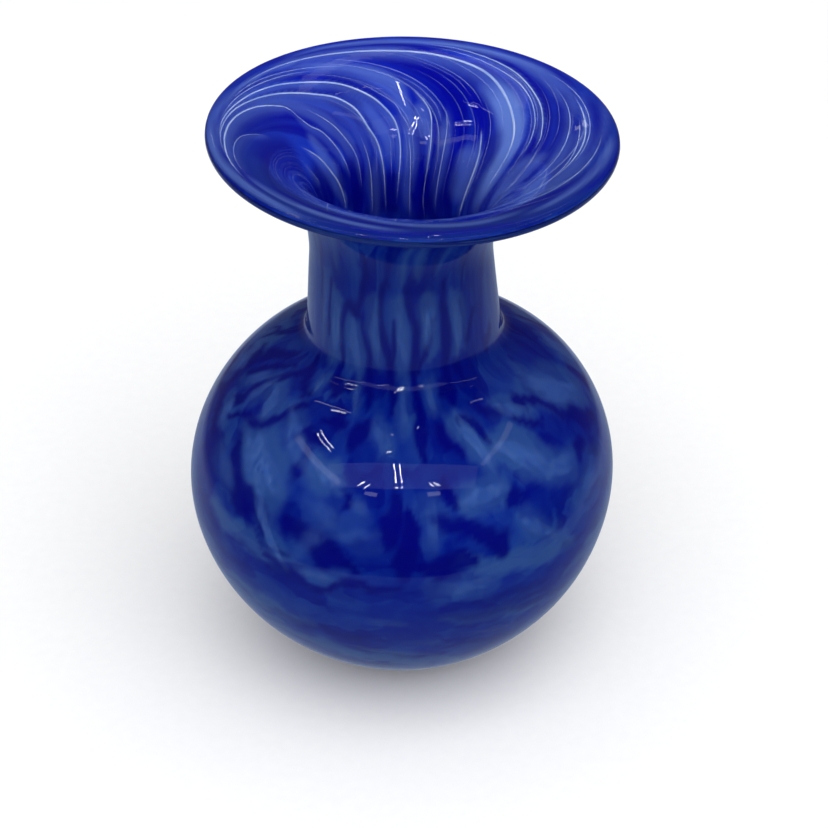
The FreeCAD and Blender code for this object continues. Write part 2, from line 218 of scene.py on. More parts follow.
def band(first, second, columns, flip=False, corner=0):
    """Quads between two rings of vertices, each given by the number it starts at.

    corner is the one that every quad starts with, which settles how it is split.
    """
    here, after = round_ring(columns, flip)
    quads = [first + here, first + after, second + after, second + here]
    return np.stack(quads[corner:] + quads[:corner], -1).tolist()


def fan(centre, ring, columns, flip=False):
    """Triangles between one vertex and a ring of vertices."""
    here, after = round_ring(columns, flip)
    return np.stack([np.full(columns, centre), ring + here, ring + after], -1).tolist()


def turned(loop, columns):
    """A loop of (radius, height) turned round, with columns of vertices.

    The loop starts and ends on the axis. Gives the vertices, the faces, the row of
    the loop that each face follows and the azimuth of each vertex off the axis.
    """
    azimuth = np.arange(columns) * 360.0 / columns - 180.0
    inner = loop[1:-1]
    radius = np.repeat(inner[:, 0], columns)
    height = np.repeat(inner[:, 1], columns)
    turns = np.tile(azimuth, len(inner))
    verts = settle(radius, turns, height)
    ends = [settle(np.zeros(1), np.zeros(1), np.array([loop[k, 1]])) for k in (0, -1)]
    verts = np.concatenate([verts, *ends])
    rows = np.arange(len(inner)) * columns
    faces = []
    for row in rows[:-1]:
        faces.extend(band(row, row + columns, columns))
    faces.extend(fan(len(verts) - 2, 0, columns, flip=True))
    faces.extend(fan(len(verts) - 1, rows[-1], columns))
    bands = np.repeat([*range(1, len(inner)), 0, len(inner)], columns)
    return verts, faces, bands, turns


def floor_rows(depth, steps=7, heel_steps=10):
    """An inside floor and its rounding, from the axis outwards."""
    centre, turn = foot(depth, FLOOR_ROUND)
    height = centre[1] - FLOOR_ROUND
    flat = np.stack([np.linspace(0.0, centre[0], steps), np.full(steps, height)], -1)
    rounding = polar(centre, FLOOR_ROUND, np.linspace(-90.0, turn, heel_steps + 1)[1:])
    return np.concatenate([flat, rounding])


def wall_rows(depth, stations):
    """Points of the wall at one depth."""
    return np.stack(at(stations, depth), -1)


# ------------------------------------------------------------ colour painting
def wander(azimuth, station, seed, size, layers=9):
    """Smooth noise from about -1 to 1 over the wall, seamless round the vase."""
    made = np.random.default_rng(seed)
    total = 0.0
    for _ in range(layers):
        waves = made.integers(1, max(2, int(400.0 / size)))
        rate = made.normal() / size * 3.0
        phase = made.uniform(0.0, 2 * math.pi)
        total = total + np.sin(waves * np.radians(azimuth) + rate * station + phase)
    return total / math.sqrt(layers)


def brush(grid, path, half, soft, taper=0.4, fill=0.0, fade=0.0):
    """Cover, 0..1, of one brush stroke along a path of (azimuth, length along the wall).

    half is the half width in mm, soft the width of the edge. fill makes one side
    fade out slowly over that many mm instead. fade is the share of the stroke's
    length over which each end comes in.
    """
    azimuth, station, radius = grid
    scale = np.radians(radius)
    nearest = np.full(azimuth.shape, 1e9)
    side, gone = np.zeros(azimuth.shape), np.zeros(azimuth.shape)
    count = len(path) - 1
    for k in range(count):
        (a0, s0), (a1, s1) = path[k], path[k + 1]
        dx = ((azimuth - a0 + 180.0) % 360.0 - 180.0) * scale
        dy = station - s0
        ex, ey = ((a1 - a0 + 180.0) % 360.0 - 180.0) * scale, s1 - s0
        size = ex * ex + ey * ey + 1e-9
        t = np.clip((dx * ex + dy * ey) / size, 0.0, 1.0)
        off = np.hypot(dx - t * ex, dy - t * ey)
        nearer = off < nearest
        nearest = np.where(nearer, off, nearest)
        side = np.where(nearer, dx * ey - dy * ex, side)
        gone = np.where(nearer, (k + t) / count, gone)
    arch = np.sin(math.pi * gone)
    width = half * (1.0 - taper + taper * arch)
    cover = 1.0 - smooth((nearest - width + soft / 2) / soft)
    if fill:
        veil = 0.6 * (1.0 - smooth(nearest / (fill * arch + 0.2)))
        cover = np.where(side > 0, np.maximum(cover, veil), cover)
    if fade:
        cover = cover * smooth(np.minimum(gone, 1.0 - gone) / fade)
    return cover


# Dark veins of the neck and shoulder: half width in mm and path.
VEINS = (
    (1.1, (-114, 172), (-113, 165), (-117, 157), (-122, 154), (-128, 152), (-131, 148), (-130, 140),
     (-129, 133)),
    (2.6, (-127, 153), (-119, 153)),
    (0.9, (-117, 150), (-113, 145), (-111, 140), (-110, 132), (-108, 126)),
    (1.3, (-99, 163), (-103, 158), (-103, 150), (-101, 143), (-98, 138), (-96, 130), (-95, 125)),
    (0.7, (-94, 152), (-95, 145), (-97, 138)),
    (1.2, (-86, 162), (-85, 156), (-82, 151), (-81, 146), (-83, 140), (-85, 135), (-84, 130), (-83, 125)),
    (0.9, (-69, 150), (-73, 146), (-77, 141), (-80, 139), (-82, 136)),
    (1.2, (-61, 162), (-63, 156), (-62, 148), (-64, 138), (-64, 133), (-65, 129), (-68, 127)),
    (1.8, (-70, 129), (-64, 130)),
    (0.8, (-58, 137), (-55, 131)),
    (1.0, (-38, 150), (-44, 146), (-47, 142)),
    (2.6, (-31, 137), (-24, 139)),
    (0.7, (-142, 158), (-142, 143)),
    (0.6, (-152, 166), (-149, 143)),
    (2.4, (-131, 129), (-121, 129)),
    (2.0, (-124, 119), (-116, 119)),
    (1.7, (-148, 127), (-153, 124), (-158, 119), (-161, 114), (-164, 108), (-168, 106)),
    (1.5, (-157, 127), (-165, 122), (-170, 117), (-174, 112)),
    (1.6, (-165, 128), (-172, 124), (-178, 118), (-181, 112), (-180, 106), (-178, 100), (-174, 96)),
    (1.4, (-150, 132), (-147, 127), (-143, 123), (-139, 121)),
    (1.6, (-136, 119), (-139, 117), (-142, 113), (-146, 109), (-150, 107), (-155, 105), (-162, 103),
     (-166, 101)),
    (2.6, (-153, 98), (-150, 95), (-146, 91), (-142, 89), (-137, 89), (-134, 87), (-132, 85), (-131, 80)),
    (3.4, (-124, 85), (-118, 84), (-112, 82), (-107, 78), (-103, 76)),
    (1.8, (-130, 75), (-125, 72), (-118, 70), (-112, 69), (-107, 70), (-100, 72), (-90, 70)),
    (3.0, (-129, 111), (-123, 112)),
    (2.4, (-127, 108), (-125, 100)),
    (1.2, (-108, 100), (-107, 96), (-108, 93)),
    (3.4, (-109, 112), (-107, 120)),
    (2.2, (-84, 125), (-84, 118), (-83, 111)),
    (1.8, (-76, 120), (-73, 115), (-70, 110)),
    (1.8, (-65, 123), (-61, 117), (-59, 111)),
    (1.7, (-56, 124), (-52, 120), (-47, 117), (-43, 114), (-38, 111), (-35, 110)),
    (2.4, (-38, 119), (-33, 116), (-29, 114), (-26, 111), (-23, 107), (-20, 103), (-17, 100),
     (-12, 97), (-9, 95)),
    (2.6, (-27, 94), (-23, 94)),
    (3.6, (-58, 94), (-54, 94)),
    (3.6, (-80, 93), (-72, 88), (-64, 84), (-61, 80)),
    (3.2, (-88, 95), (-89, 84), (-90, 74)),
    (3.4, (-86, 78), (-72, 78)),
    (3.0, (-93, 99), (-94, 86)),
    (2.4, (-77, 103), (-76, 97)),
    (4.2, (-143, 86), (-134, 83)),
)

# Paler clouds of melted frit: half width in mm, paleness and path.
CLOUDS = (
    (4.2, 0.75, (-152, 117), (-150, 110)),
    (9.5, 1.0, (-146, 102), (-137, 97), (-134, 93)),
    (4.2, 0.85, (-137, 92), (-132, 84), (-127, 77), (-124, 73)),
    (6.4, 0.55, (-140, 114), (-128, 106), (-119, 103)),
    (5.0, 0.85, (-119, 105), (-112, 101)),
    (5.0, 0.26, (-118, 94), (-108, 90)),
    (3.6, 0.4, (-105, 97), (-102, 95)),
    (5.2, 0.3, (-120, 78), (-112, 88)),
    (4.4, 0.24, (-108, 87), (-98, 88)),
    (3.6, 0.45, (-101, 120), (-96, 112)),
    (5.5, 0.36, (-158, 92), (-146, 88)),
    (3.8, 0.9, (-67, 122), (-64, 112), (-61, 105)),
    (3.6, 0.34, (-82, 99), (-82, 86)),
    (5.6, 0.85, (-71, 97), (-62, 98)),
    (7.2, 0.95, (-54, 109), (-44, 100)),
    (6.0, 0.75, (-42, 97), (-33, 94)),
    (8.5, 0.7, (-26, 118), (-14, 110), (-8, 106)),
    (5.0, 0.6, (-54, 86), (-47, 78)),
    (4.4, 0.7, (-47, 120), (-39, 115)),
    (4.2, 0.5, (-117, 73), (-109, 72)),
    (3.4, 0.5, (-172, 110), (-163, 118)),
    (3.0, 0.55, (-163, 108), (-158, 120)),
    (4.4, 0.5, (-169, 103), (-166, 98)),
    (5.0, 0.45, (-80, 71), (-66, 70)),
    (5.5, 0.35, (-32, 84), (-20, 88)),
    (3.4, 0.75, (-136, 154), (-135, 136)),
    (3.6, 0.65, (-122, 148), (-120, 135)),
    (3.0, 0.6, (-108, 156), (-106, 138)),
    (3.0, 0.6, (-91, 158), (-90, 136)),
    (3.4, 0.8, (-74, 157), (-73, 142)),
    (3.4, 0.65, (-54, 155), (-54, 140)),
    (3.0, 0.5, (-148, 160), (-147, 138)),
    (2.0, 0.5, (-138, 130), (-137, 124)),
    (1.8, 0.45, (-116, 131), (-114, 124)),
    (2.4, 0.4, (-91, 131), (-90, 118)),
    (2.2, 0.45, (-76, 132), (-77, 124)),
)

# Pale threads seen inside the mouth, as (azimuth, length along the inner wall):
# half width in mm, milkiness, width in mm of the soft veil beside it, path.
THREADS = (
    (0.2, 0.75, 3.0, (7, 56), (12, 60.5), (18, 63), (30, 67.5), (40, 70.5), (52, 74), (62, 76),
     (76, 78), (92, 79.4)),
    (0.16, 0.55, 2.0, (11, 48), (14, 56), (22, 61.5), (30, 65), (38, 68), (48, 71), (60, 73.5),
     (74, 76.2), (90, 78.2)),
    (0.34, 1.0, 6.5, (20, 34), (19, 42), (20, 48), (24, 53), (30, 57), (40, 61.5), (48, 65), (60, 70),
     (70, 72.5), (85, 74.6), (102, 75.8), (120, 77.2), (142, 78.8), (164, 80.2)),
    (0.28, 0.9, 3.6, (44, 24), (40, 31), (38.5, 38), (40, 44), (44, 49), (50, 54)),
    (0.12, 0.4, 2.0, (64, 22), (64, 35), (66, 45), (69, 52), (74, 58)),
    (0.18, 0.7, 2.6, (73, 33), (74, 42), (76, 48), (79, 54), (84, 58), (91, 62)),
    (0.12, 0.35, 5.0, (84, 20), (84, 32), (86, 41), (90, 49)),
    (0.26, 0.85, 4.0, (94, 24), (92.5, 34), (93, 43), (97, 51), (105, 57.5), (113, 62), (122, 66),
     (134, 69.5), (148, 73.5), (164, 76.6), (180, 78.8), (196, 80.4)),
    (0.26, 0.9, 4.2, (101, 20), (102, 31), (104, 39), (108, 46), (113, 51), (118, 57), (125, 61.5),
     (133, 64.5), (141, 67.5), (149, 70.5), (160, 74), (172, 77), (188, 79), (204, 80.4)),
    (0.12, 0.4, 2.5, (112, 21), (112, 32), (114, 41), (119, 50)),
    (0.14, 0.4, 3.5, (119, 30), (122, 42), (128, 49), (133, 54), (138, 58), (144, 62.5)),
    (0.16, 0.5, 4.0, (128, 36), (132, 43), (137, 49), (142, 54), (147, 57), (149.5, 60.5), (151, 65)),
    (0.24, 0.8, 5.0, (149.5, 59), (151, 65), (156, 68.5), (163, 72), (173, 75.3), (186, 77.6),
     (202, 79), (216, 79.8)),
    (0.12, 0.4, 2.0, (126, 72), (142, 75), (160, 77.6), (178, 79.8)),
    (0.1, 0.35, 2.0, (112, 70.4), (130, 74.2), (150, 77.6), (170, 80.2)),
    (0.24, 0.75, 4.5, (135, 26), (136, 32), (140, 37.5), (146, 42.5), (152, 47.5), (158, 51.5),
     (164, 55)),
    (0.1, 0.3, 3.0, (160, 41), (165, 45), (171, 52)),
    (0.1, 0.25, 4.0, (175, 63), (180, 69), (187, 74), (200, 77), (214, 77.5)),
    (0.12, 0.3, 2.6, (170, 39), (184, 43.5), (197, 49), (207, 55), (217, 60.5), (227, 65), (235, 69),
     (242, 74)),
    (0.08, 0.16, 1.6, (190, 48), (205, 57), (217, 63), (228, 67.5), (238, 73)),
    (0.12, 0.28, 1.6, (224, 52), (231, 59), (238, 68), (243, 75)),
    (0.1, 0.22, 1.6, (238, 54), (244, 62), (250, 74)),
    (0.22, 0.8, 2.0, (-30, 67.5), (-15, 70.5), (-5, 72.5), (5, 74), (16, 75.5), (28, 77.2)),
    (0.15, 0.45, 3.0, (-50, 62), (-35, 66), (-18, 69), (0, 71.5), (16, 74)),
    (0.15, 0.45, 3.0, (-38, 52), (-28, 58), (-12, 64), (6, 69), (22, 73), (38, 76)),
    (0.12, 0.4, 2.0, (-22, 70), (-6, 73.4), (10, 76), (28, 78.2), (46, 80)),
    (0.12, 0.35, 2.0, (-60, 68), (-44, 71.4), (-28, 74.2), (-12, 76.6), (4, 78.6)),
    (0.14, 0.4, 5.0, (-14, 38), (-10, 46), (-6, 52), (2, 57), (10, 60.5)),
)

# Broad soft veils inside the mouth, and thin pale lines along the far rim that are painted reflection: half
# width in mm, paleness, edge in mm, path.
VEILS_AND_RIM_SHEEN = (
    (6.0, 0.26, 5.0, (-52, 62), (-30, 66), (-8, 69.5), (14, 74)),
    (7.0, 0.42, 5.0, (-8, 36), (-5, 46), (0, 54), (8, 59)),
    (4.2, 0.85, 3.0, (25, 27), (23, 36), (22.5, 44), (25.5, 51), (32, 56.5), (42, 61.5), (56, 66.5),
     (70, 70)),
    (4.2, 0.4, 3.0, (47, 28), (46, 40), (49, 50)),
    (2.2, 0.3, 2.0, (10, 72), (28, 75), (46, 78), (60, 79)),
    (2.0, 0.28, 2.2, (64, 26), (65, 38), (68, 48), (73, 57)),
    (2.2, 0.36, 2.2, (78, 44), (82, 52), (88, 58)),
    (2.0, 0.36, 2.0, (86, 24), (86, 36), (88, 46), (92, 55), (98, 61.5), (108, 66.5), (122, 71),
     (140, 75.5)),
    (1.6, 0.4, 1.8, (90, 58), (97, 64), (107, 68.5), (122, 72.5), (142, 77)),
    (1.8, 0.34, 2.0, (98, 36), (101, 45), (108, 53), (118, 60.5), (130, 66)),
    (2.4, 0.3, 2.6, (119, 34), (125, 45), (133, 53), (142, 61), (150, 67), (163, 73.5), (184, 78)),
    (1.8, 0.34, 2.6, (145, 45), (149, 50), (153, 57)),
    (2.6, 0.36, 2.6, (138, 33), (145, 42), (156, 51)),
    # From here to the near side's rows: the hazy sheen along the far rim, a painted reflection.
    (1.3, 0.42, 2.0, (34, 78.2), (54, 78.8), (74, 79.4), (94, 80.2)),
    (0.7, 0.6, 1.2, (36, 79.6), (62, 79.4), (88, 79.6), (112, 80.2), (140, 80.8)),
    (0.6, 0.45, 1.0, (118, 76.2), (140, 78.4), (166, 79.8), (190, 80.6)),
    (0.6, 0.4, 1.0, (146, 74.6), (164, 77.4), (186, 79.4), (208, 80.4)),
    (1.0, 0.34, 1.4, (84, 76.4), (104, 77), (126, 78.2), (146, 79.6)),
    (0.8, 0.26, 1.2, (104, 72), (122, 74.6), (142, 77.6)),
    (3.4, 0.22, 4.0, (150, 76), (176, 79), (200, 80)),
    # on the near side of the mouth and the lip
    (0.9, 0.55, 1.4, (205, 78), (226, 77), (250, 78), (272, 79.5)),
    (1.2, 0.42, 1.8, (226, 70), (246, 71), (266, 74), (290, 76), (312, 75)),
    (0.7, 0.5, 1.2, (262, 66), (284, 68), (306, 69), (322, 72)),
    (1.0, 0.45, 1.6, (300, 78.5), (322, 78), (344, 79.5), (362, 81)),
    (0.8, 0.4, 1.4, (170, 81), (196, 81.5), (222, 80.5), (246, 82)),
    (0.7, 0.45, 1.4, (252, 62), (268, 62.5), (284, 64.5)),
)

# Deep blue between the veils: half width in mm, depth, edge in mm, path.
DEEPS = (
    (1.2, 0.75, 2.2, (16, 63.2), (25, 67), (35, 70.6), (48, 75.4)),
    (1.0, 0.6, 2.0, (9, 57), (7, 46), (9, 36)),
    (0.8, 0.5, 2.0, (13, 55), (11, 45), (12.5, 35)),
    (2.8, 0.85, 2.4, (31, 30), (31, 42), (36, 51), (43, 57)),
    (3.2, 0.8, 3.0, (57, 24), (57, 36), (60, 46)),
    (2.6, 0.75, 2.4, (71, 20), (70, 34), (73, 50)),
    (1.6, 0.6, 2.0, (79, 32), (81, 44), (85, 52)),
    (3.0, 0.85, 2.4, (98, 20), (98, 30), (100, 39)),
    (3.4, 0.85, 3.0, (107, 21), (108, 32), (113, 44)),
    (5.0, 0.85, 4.0, (124, 24), (129, 36), (136, 44)),
    (6.0, 0.85, 5.0, (148, 28), (160, 39), (170, 49)),
    (7.0, 0.75, 6.0, (166, 52), (186, 60), (206, 68)),
    (7.5, 0.88, 5.0, (184, 38), (204, 48), (222, 57), (236, 64)),
    (3.0, 0.6, 3.0, (104, 60), (116, 66), (128, 69)),
    (3.0, 0.5, 3.0, (60, 64), (74, 68.5), (90, 71)),
    (2.0, 0.75, 2.2, (101, 56), (110, 61), (121, 65), (134, 68)),
    (1.8, 0.75, 2.0, (110, 54), (118, 59.5), (128, 64), (140, 68), (154, 73)),
    (0.9, 0.75, 1.8, (56, 77.4), (84, 77.6), (110, 78.8), (134, 80.2)),
    (0.6, 0.65, 1.6, (24, 79.8), (50, 80.8), (80, 81.0)),
    (1.1, 0.7, 2.0, (128, 73.4), (148, 76.4), (172, 79.2), (196, 80.8)),
    (0.8, 0.7, 1.8, (-14, 76), (6, 78), (26, 80.4)),
    (1.6, 0.6, 1.8, (-36, 64), (-16, 68.2), (4, 71.8), (20, 74)),
    (1.3, 0.7, 2.0, (2, 66), (12, 70), (24, 73.6), (38, 77)),
    (1.1, 0.65, 2.0, (-20, 72.4), (-4, 75.4), (12, 78), (28, 80)),
    # on the near side of the mouth and the lip
    (0.9, 0.8, 1.2, (214, 74), (236, 75), (258, 76), (276, 77)),
    (1.0, 0.75, 1.4, (276, 72), (296, 72), (316, 74), (338, 77)),
    (0.7, 0.7, 1.0, (240, 80), (262, 80.5), (286, 80), (312, 82)),
    (0.8, 0.7, 1.2, (244, 66), (262, 68), (280, 70)),
    (0.7, 0.65, 1.0, (318, 80), (340, 82), (366, 83)),
    (0.6, 0.8, 1.5, (174, 78.6), (194, 79.6), (212, 78.8), (230, 79.6)),
    (0.6, 0.75, 1.5, (190, 76.4), (208, 77.4), (226, 76.6), (240, 77.4)),
    (0.6, 0.75, 1.5, (300, 76), (318, 76.8), (336, 78.4), (352, 80.6)),
)

# Lengths along the inner wall of the mouth, and those along the outside beside them.
INSIDE_KNOTS = (0.0, 22.5, 80.4, 84.0)
OUTSIDE_KNOTS = (TRUMPET_FOOT, 157.5, 208.8, 212.4)


def swirl(station):
    """How far the drawn glass has turned by a length along the wall, in degrees."""
    inside = np.interp(station, OUTSIDE_KNOTS, INSIDE_KNOTS)
    return 79.0 * np.clip((inside - 35.0) / 45.0, 0.0, 1.1) ** 2.5


def drawn_path(azimuth, start, end, steps):
    """A path that follows the drawn and twisted glass from one length to another."""
    return [(azimuth + swirl(s) - swirl(start), s) for s in np.linspace(start, end, steps)]


def curve(path, steps):
    """Evenly spread points of a smooth curve through the path."""
    knots = np.array(path, dtype=float)
    knots = np.vstack([2 * knots[0] - knots[1], knots, 2 * knots[-1] - knots[-2]])
    made = []
    for k in range(1, len(knots) - 2):
        t = np.linspace(0.0, 1.0, steps, endpoint=False)[:, None]
        a, b, c, d = knots[k - 1:k + 3]
        made.append(0.5 * (2 * b + (c - a) * t + (2 * a - 5 * b + 4 * c - d) * t ** 2
                           + (3 * b - a - 3 * c + d) * t ** 3))
    return np.concatenate([*made, knots[-2:-1]])


def outside_path(path):
    """A path of the inner wall in lengths along the outside."""
    return [(a, float(np.interp(s, INSIDE_KNOTS, OUTSIDE_KNOTS))) for a, s in path]


def seeded_veins():
    """Veins and clouds of the same kind on the sides that the listed ones leave out."""
    veins, clouds = [], []
    for _ in range(40):
        a, s = rng.uniform(3, 177), rng.uniform(130, 168)
        rise = rng.uniform(12, 30)
        veins.append((rng.uniform(0.6, 1.4), (a, s), (a + rng.normal(0, 4), s - rise / 2),
                      (a + rng.normal(0, 5), s - rise)))
    for _ in range(30):
        a, s = rng.uniform(0, 180), rng.uniform(90, 126)
        lean, rise = rng.normal(6, 8), rng.uniform(5, 15)
        veins.append((rng.uniform(1.4, 3.6), (a, s), (a + lean / 2 + rng.normal(0, 3), s - rise / 2),
                      (a + lean, s - rise)))
    for _ in range(30):
        a, s = rng.uniform(0, 180), rng.uniform(84, 124)
        path = [(a, s), (a + rng.normal(8, 5), s - rng.uniform(2, 9))]
        clouds.append((rng.uniform(4.0, 9.0), rng.uniform(0.4, 1.0), *path))
    for a in np.arange(6.0, 178.0, 13.0):
        path = [(a + rng.normal(0, 1.5), 157.0), (a + rng.normal(0, 1.5), rng.uniform(134, 142))]
        clouds.append((rng.uniform(2.8, 3.6), rng.uniform(0.5, 0.8), *path))
    return veins, clouds


def twisted_streaks():
    """Long soft streaks lying nearly level round the lower body and under the mouth."""
    veins, clouds = [], []
    for k in range(110):
        a, s = rng.uniform(-180, 180), rng.uniform(8, 82)
        reach, fall = rng.uniform(18, 50), rng.uniform(2, 9)
        bow = rng.normal(0, 1.6)
        path = [(a, s), (a + reach / 2, s - fall / 2 + bow), (a + reach, s - fall)]
        if k % 2:
            veins.append((rng.uniform(0.8, 2.4), *path))
        else:
            clouds.append((rng.uniform(1.8, 4.8), rng.uniform(0.85, 1.5), *path))
    for k in range(130):
        a, s = rng.uniform(-180, 180), rng.uniform(160, 204)
        path = drawn_path(a, s, min(s + rng.uniform(12, 26), PAST_RIM), 6)
        if k % 2:
            veins.append((rng.uniform(0.7, 1.9), *path))
        else:
            clouds.append((rng.uniform(0.8, 2.2), rng.uniform(0.4, 0.9), *path))
    return veins, clouds


def outside_colour(azimuth, station, radius):
    """Vein and cloud cover over the outer side of the coloured glass."""
    calm = 1.0 - 0.75 * smooth((station - 124.0) / 8.0)
    warp_a = calm * (1.1 * wander(azimuth, station, 3, 14.0) + 0.40 * wander(azimuth, station, 4, 5.0))
    warp_s = 1.2 * wander(azimuth, station, 5, 14.0) + 0.45 * wander(azimuth, station, 6, 5.0)
    grid = (azimuth + np.degrees(warp_a / np.maximum(radius, 8.0)), station + warp_s, radius)
    extra_veins, extra_clouds = seeded_veins()
    twist_veins, twist_clouds = twisted_streaks()
    vein, cloud = np.zeros(azimuth.shape), np.zeros(azimuth.shape)
    for half, *path in (*VEINS, *extra_veins):
        vein = np.maximum(vein, brush(grid, curve(path, 2), half, 1.0 + 0.40 * half))
    for half, pale, *path in (*CLOUDS, *extra_clouds):
        cover = pale * brush(grid, path, half, 1.6 + 0.35 * half, 0.15)
        cloud = np.maximum(cloud, cover) + 0.25 * np.minimum(cloud, cover)
    for half, *path in twist_veins:
        vein = np.maximum(vein, 0.72 * brush(grid, path, half, 2.6, 0.8))
    for half, pale, *path in twist_clouds:
        cloud = np.maximum(cloud, pale * brush(grid, path, half, 2.9, 0.7))
    return vein, np.minimum(cloud, 1.1)


def inside_colour(azimuth, station, radius):
    """Dark and veil cover over the inner side of the coloured glass, seen in the mouth, the veils with a
    painted reflection along the far rim.
    """
    drift = 0.30 * wander(azimuth, station, 8, 9.0)
    grid = (azimuth + np.degrees(drift / radius), station, radius)
    veil, dark = np.zeros(azimuth.shape), np.zeros(azimuth.shape)
    for half, pale, soft, *path in VEILS_AND_RIM_SHEEN:
        cover = pale * brush(grid, outside_path(curve(path, 4)), half, soft, 0.5, fade=0.25)
        veil = np.maximum(veil, cover) + 0.3 * np.minimum(veil, cover)
    for half, deep, soft, *path in DEEPS:
        cover = deep * brush(grid, outside_path(curve(path, 4)), half, soft, 0.5, fade=0.25)
        dark = np.maximum(dark, cover)
    veil = veil * (1.0 - 0.7 * dark)
    for half, milk, fill, *path in THREADS:
        stroke = brush(grid, outside_path(curve(path, 5)), half, 1.4, 0.5, fill, 0.2)
        veil = np.maximum(veil, (0.20 + 0.40 * milk) * stroke)
    for k in range(40):
        a, s = rng.uniform(-80, 120), rng.uniform(150, 190)
        path = drawn_path(a, s, min(s + rng.uniform(14, 40), PAST_RIM), 9)
        cover = brush(grid, path, rng.uniform(0.8, 2.2), 2.4, 0.8)
        if k % 2:
            dark = np.maximum(dark, 0.5 * cover)
        else:
            veil = np.maximum(veil, rng.uniform(0.06, 0.20) * cover)
    return dark, veil


# ------------------------------------------------------------------ materials
class Nodes:
    """The node tree of a material or world, with short calls for its nodes."""

    def __init__(self, owner, output="OutputMaterial"):
        owner.use_nodes = True
        self.owner = owner
        self.tree = owner.node_tree
        self.tree.nodes.clear()
        self.output = self.add(output)

    def add(self, kind, inputs=None, **settings):
        """A node, with settings, and inputs given as values or as other nodes' outputs."""
        node = self.tree.nodes.new("ShaderNode" + kind)
        for key, value in settings.items():
            setattr(node, key, value)
        for key, value in (inputs or {}).items():
            if isinstance(value, bpy.types.NodeSocket):
                self.tree.links.new(value, node.inputs[key])
            else:
                node.inputs[key].default_value = value
        return node

    def attribute(self, name, output="Fac"):
        """A value stored on the mesh."""
        return self.add("Attribute", attribute_name=name).outputs[output]

    def blend(self, factor, first, second):
        """A mix of two colours."""
        return self.add("Mix", {0: factor, 6: first, 7: second}, data_type="RGBA").outputs[2]

    def math(self, operation, first, second):
        """One step of arithmetic."""
        return self.add("Math", {0: first, 1: second}, operation=operation).outputs[0]

    def total(self, *parts, plus=None):
        """The sum of (number, weight) pairs, and of a fixed number if given."""
        made = plus
        for number, weight in parts:
            part = number if weight == 1.0 else self.math("MULTIPLY", number, weight)
            made = part if made is None else self.math("ADD", part, made)
        return made

    def noise(self, where, scale, detail=3.0, stretch=None, **inputs):
        """Noise over a place, stretched if asked."""
        if stretch:
            where = self.add("Mapping", {"Vector": where, "Scale": stretch}).outputs[0]
        inputs = {"Vector": where, "Scale": scale, "Detail": detail, **inputs}
        return self.add("TexNoise", inputs).outputs["Fac"]

    def ramp(self, factor, *stops):
        """A colour ramp of (position, colour)."""
        node = self.add("ValToRGB", {"Fac": factor})
        while len(node.color_ramp.elements) < len(stops):
            node.color_ramp.elements.new(0.5)
        for element, (position, colour) in zip(node.color_ramp.elements, stops):
            element.position = position
            element.color = colour
        return node.outputs["Color"]

    def finish(self, shader):
        """Connects the surface and gives the material or world."""
        self.tree.links.new(shader, self.output.inputs["Surface"])
        return self.owner


def material(name):
    """The empty node tree of a new material."""
    return Nodes(bpy.data.materials.new(name))


def srgb(red, green, blue):
    """A colour from the usual 0..255 numbers."""
    parts = [c / 255.0 for c in (red, green, blue)]
    return (*[p / 12.92 if p <= 0.04045 else ((p + 0.055) / 1.055) ** 2.4 for p in parts], 1.0)


def clear_glass(name, tint, waves, ripple):
    """Clear glass with faint waves of hand work and finer ripples along the draw."""
    n = material(name)
    where = n.attribute("flow", "Vector")
    swell = n.noise(where, 2.6, 2.0, (1.0, 1.0, 0.6))
    fine = n.noise(where, 22.0, 2.0, (1.0, 1.0, 3.0))
    height = n.total((swell, 1.0), (fine, ripple))
    bump = n.add("Bump", {"Height": height, "Strength": waves, "Distance": 0.004})
    haze = n.noise(where, 9.0, 4.0)
    rough = n.add("MapRange", {
        "Value": haze, "From Min": 0.35, "From Max": 0.75, "To Min": 0.0, "To Max": 0.004})
    glass = n.add("BsdfPrincipled", {
        "Base Color": tint, "Roughness": rough.outputs[0], "IOR": 1.5,
        "Transmission Weight": 1.0, "Normal": bump.outputs[0]})
    return n.finish(glass.outputs[0])


def fused():
    """Where two layers are fused there is no surface to see."""
    n = material("fused_faces")
    return n.finish(n.add("BsdfTransparent").outputs[0])


GROUND_DEEP = srgb(2, 18, 134)
GROUND_MID = srgb(8, 38, 144)
GROUND_PALE = srgb(28, 64, 154)
VEIN = srgb(2, 3, 122)
CLOUD = srgb(49, 86, 155)
# The inside colours are the glass's own blue painted lighter than the outside's, partly painted light: the
# glow of lamps shining through the thin wall of the mouth.
INSIDE_DEEP = srgb(4, 10, 172)
INSIDE_MID = srgb(30, 64, 206)
INSIDE_DARK = srgb(2, 4, 152)
# Muted blue that the inside of the mouth turns towards the lip: partly the glass's colour there and partly
# painted shade, strongest on the side nearest the camera.
LIP_BLUE_AND_SHADE = srgb(18, 44, 132)
# Pale veils and threads inside the mouth, and the painted reflection along the far rim.
VEIL_AND_RIM_SHEEN = srgb(122, 156, 230)


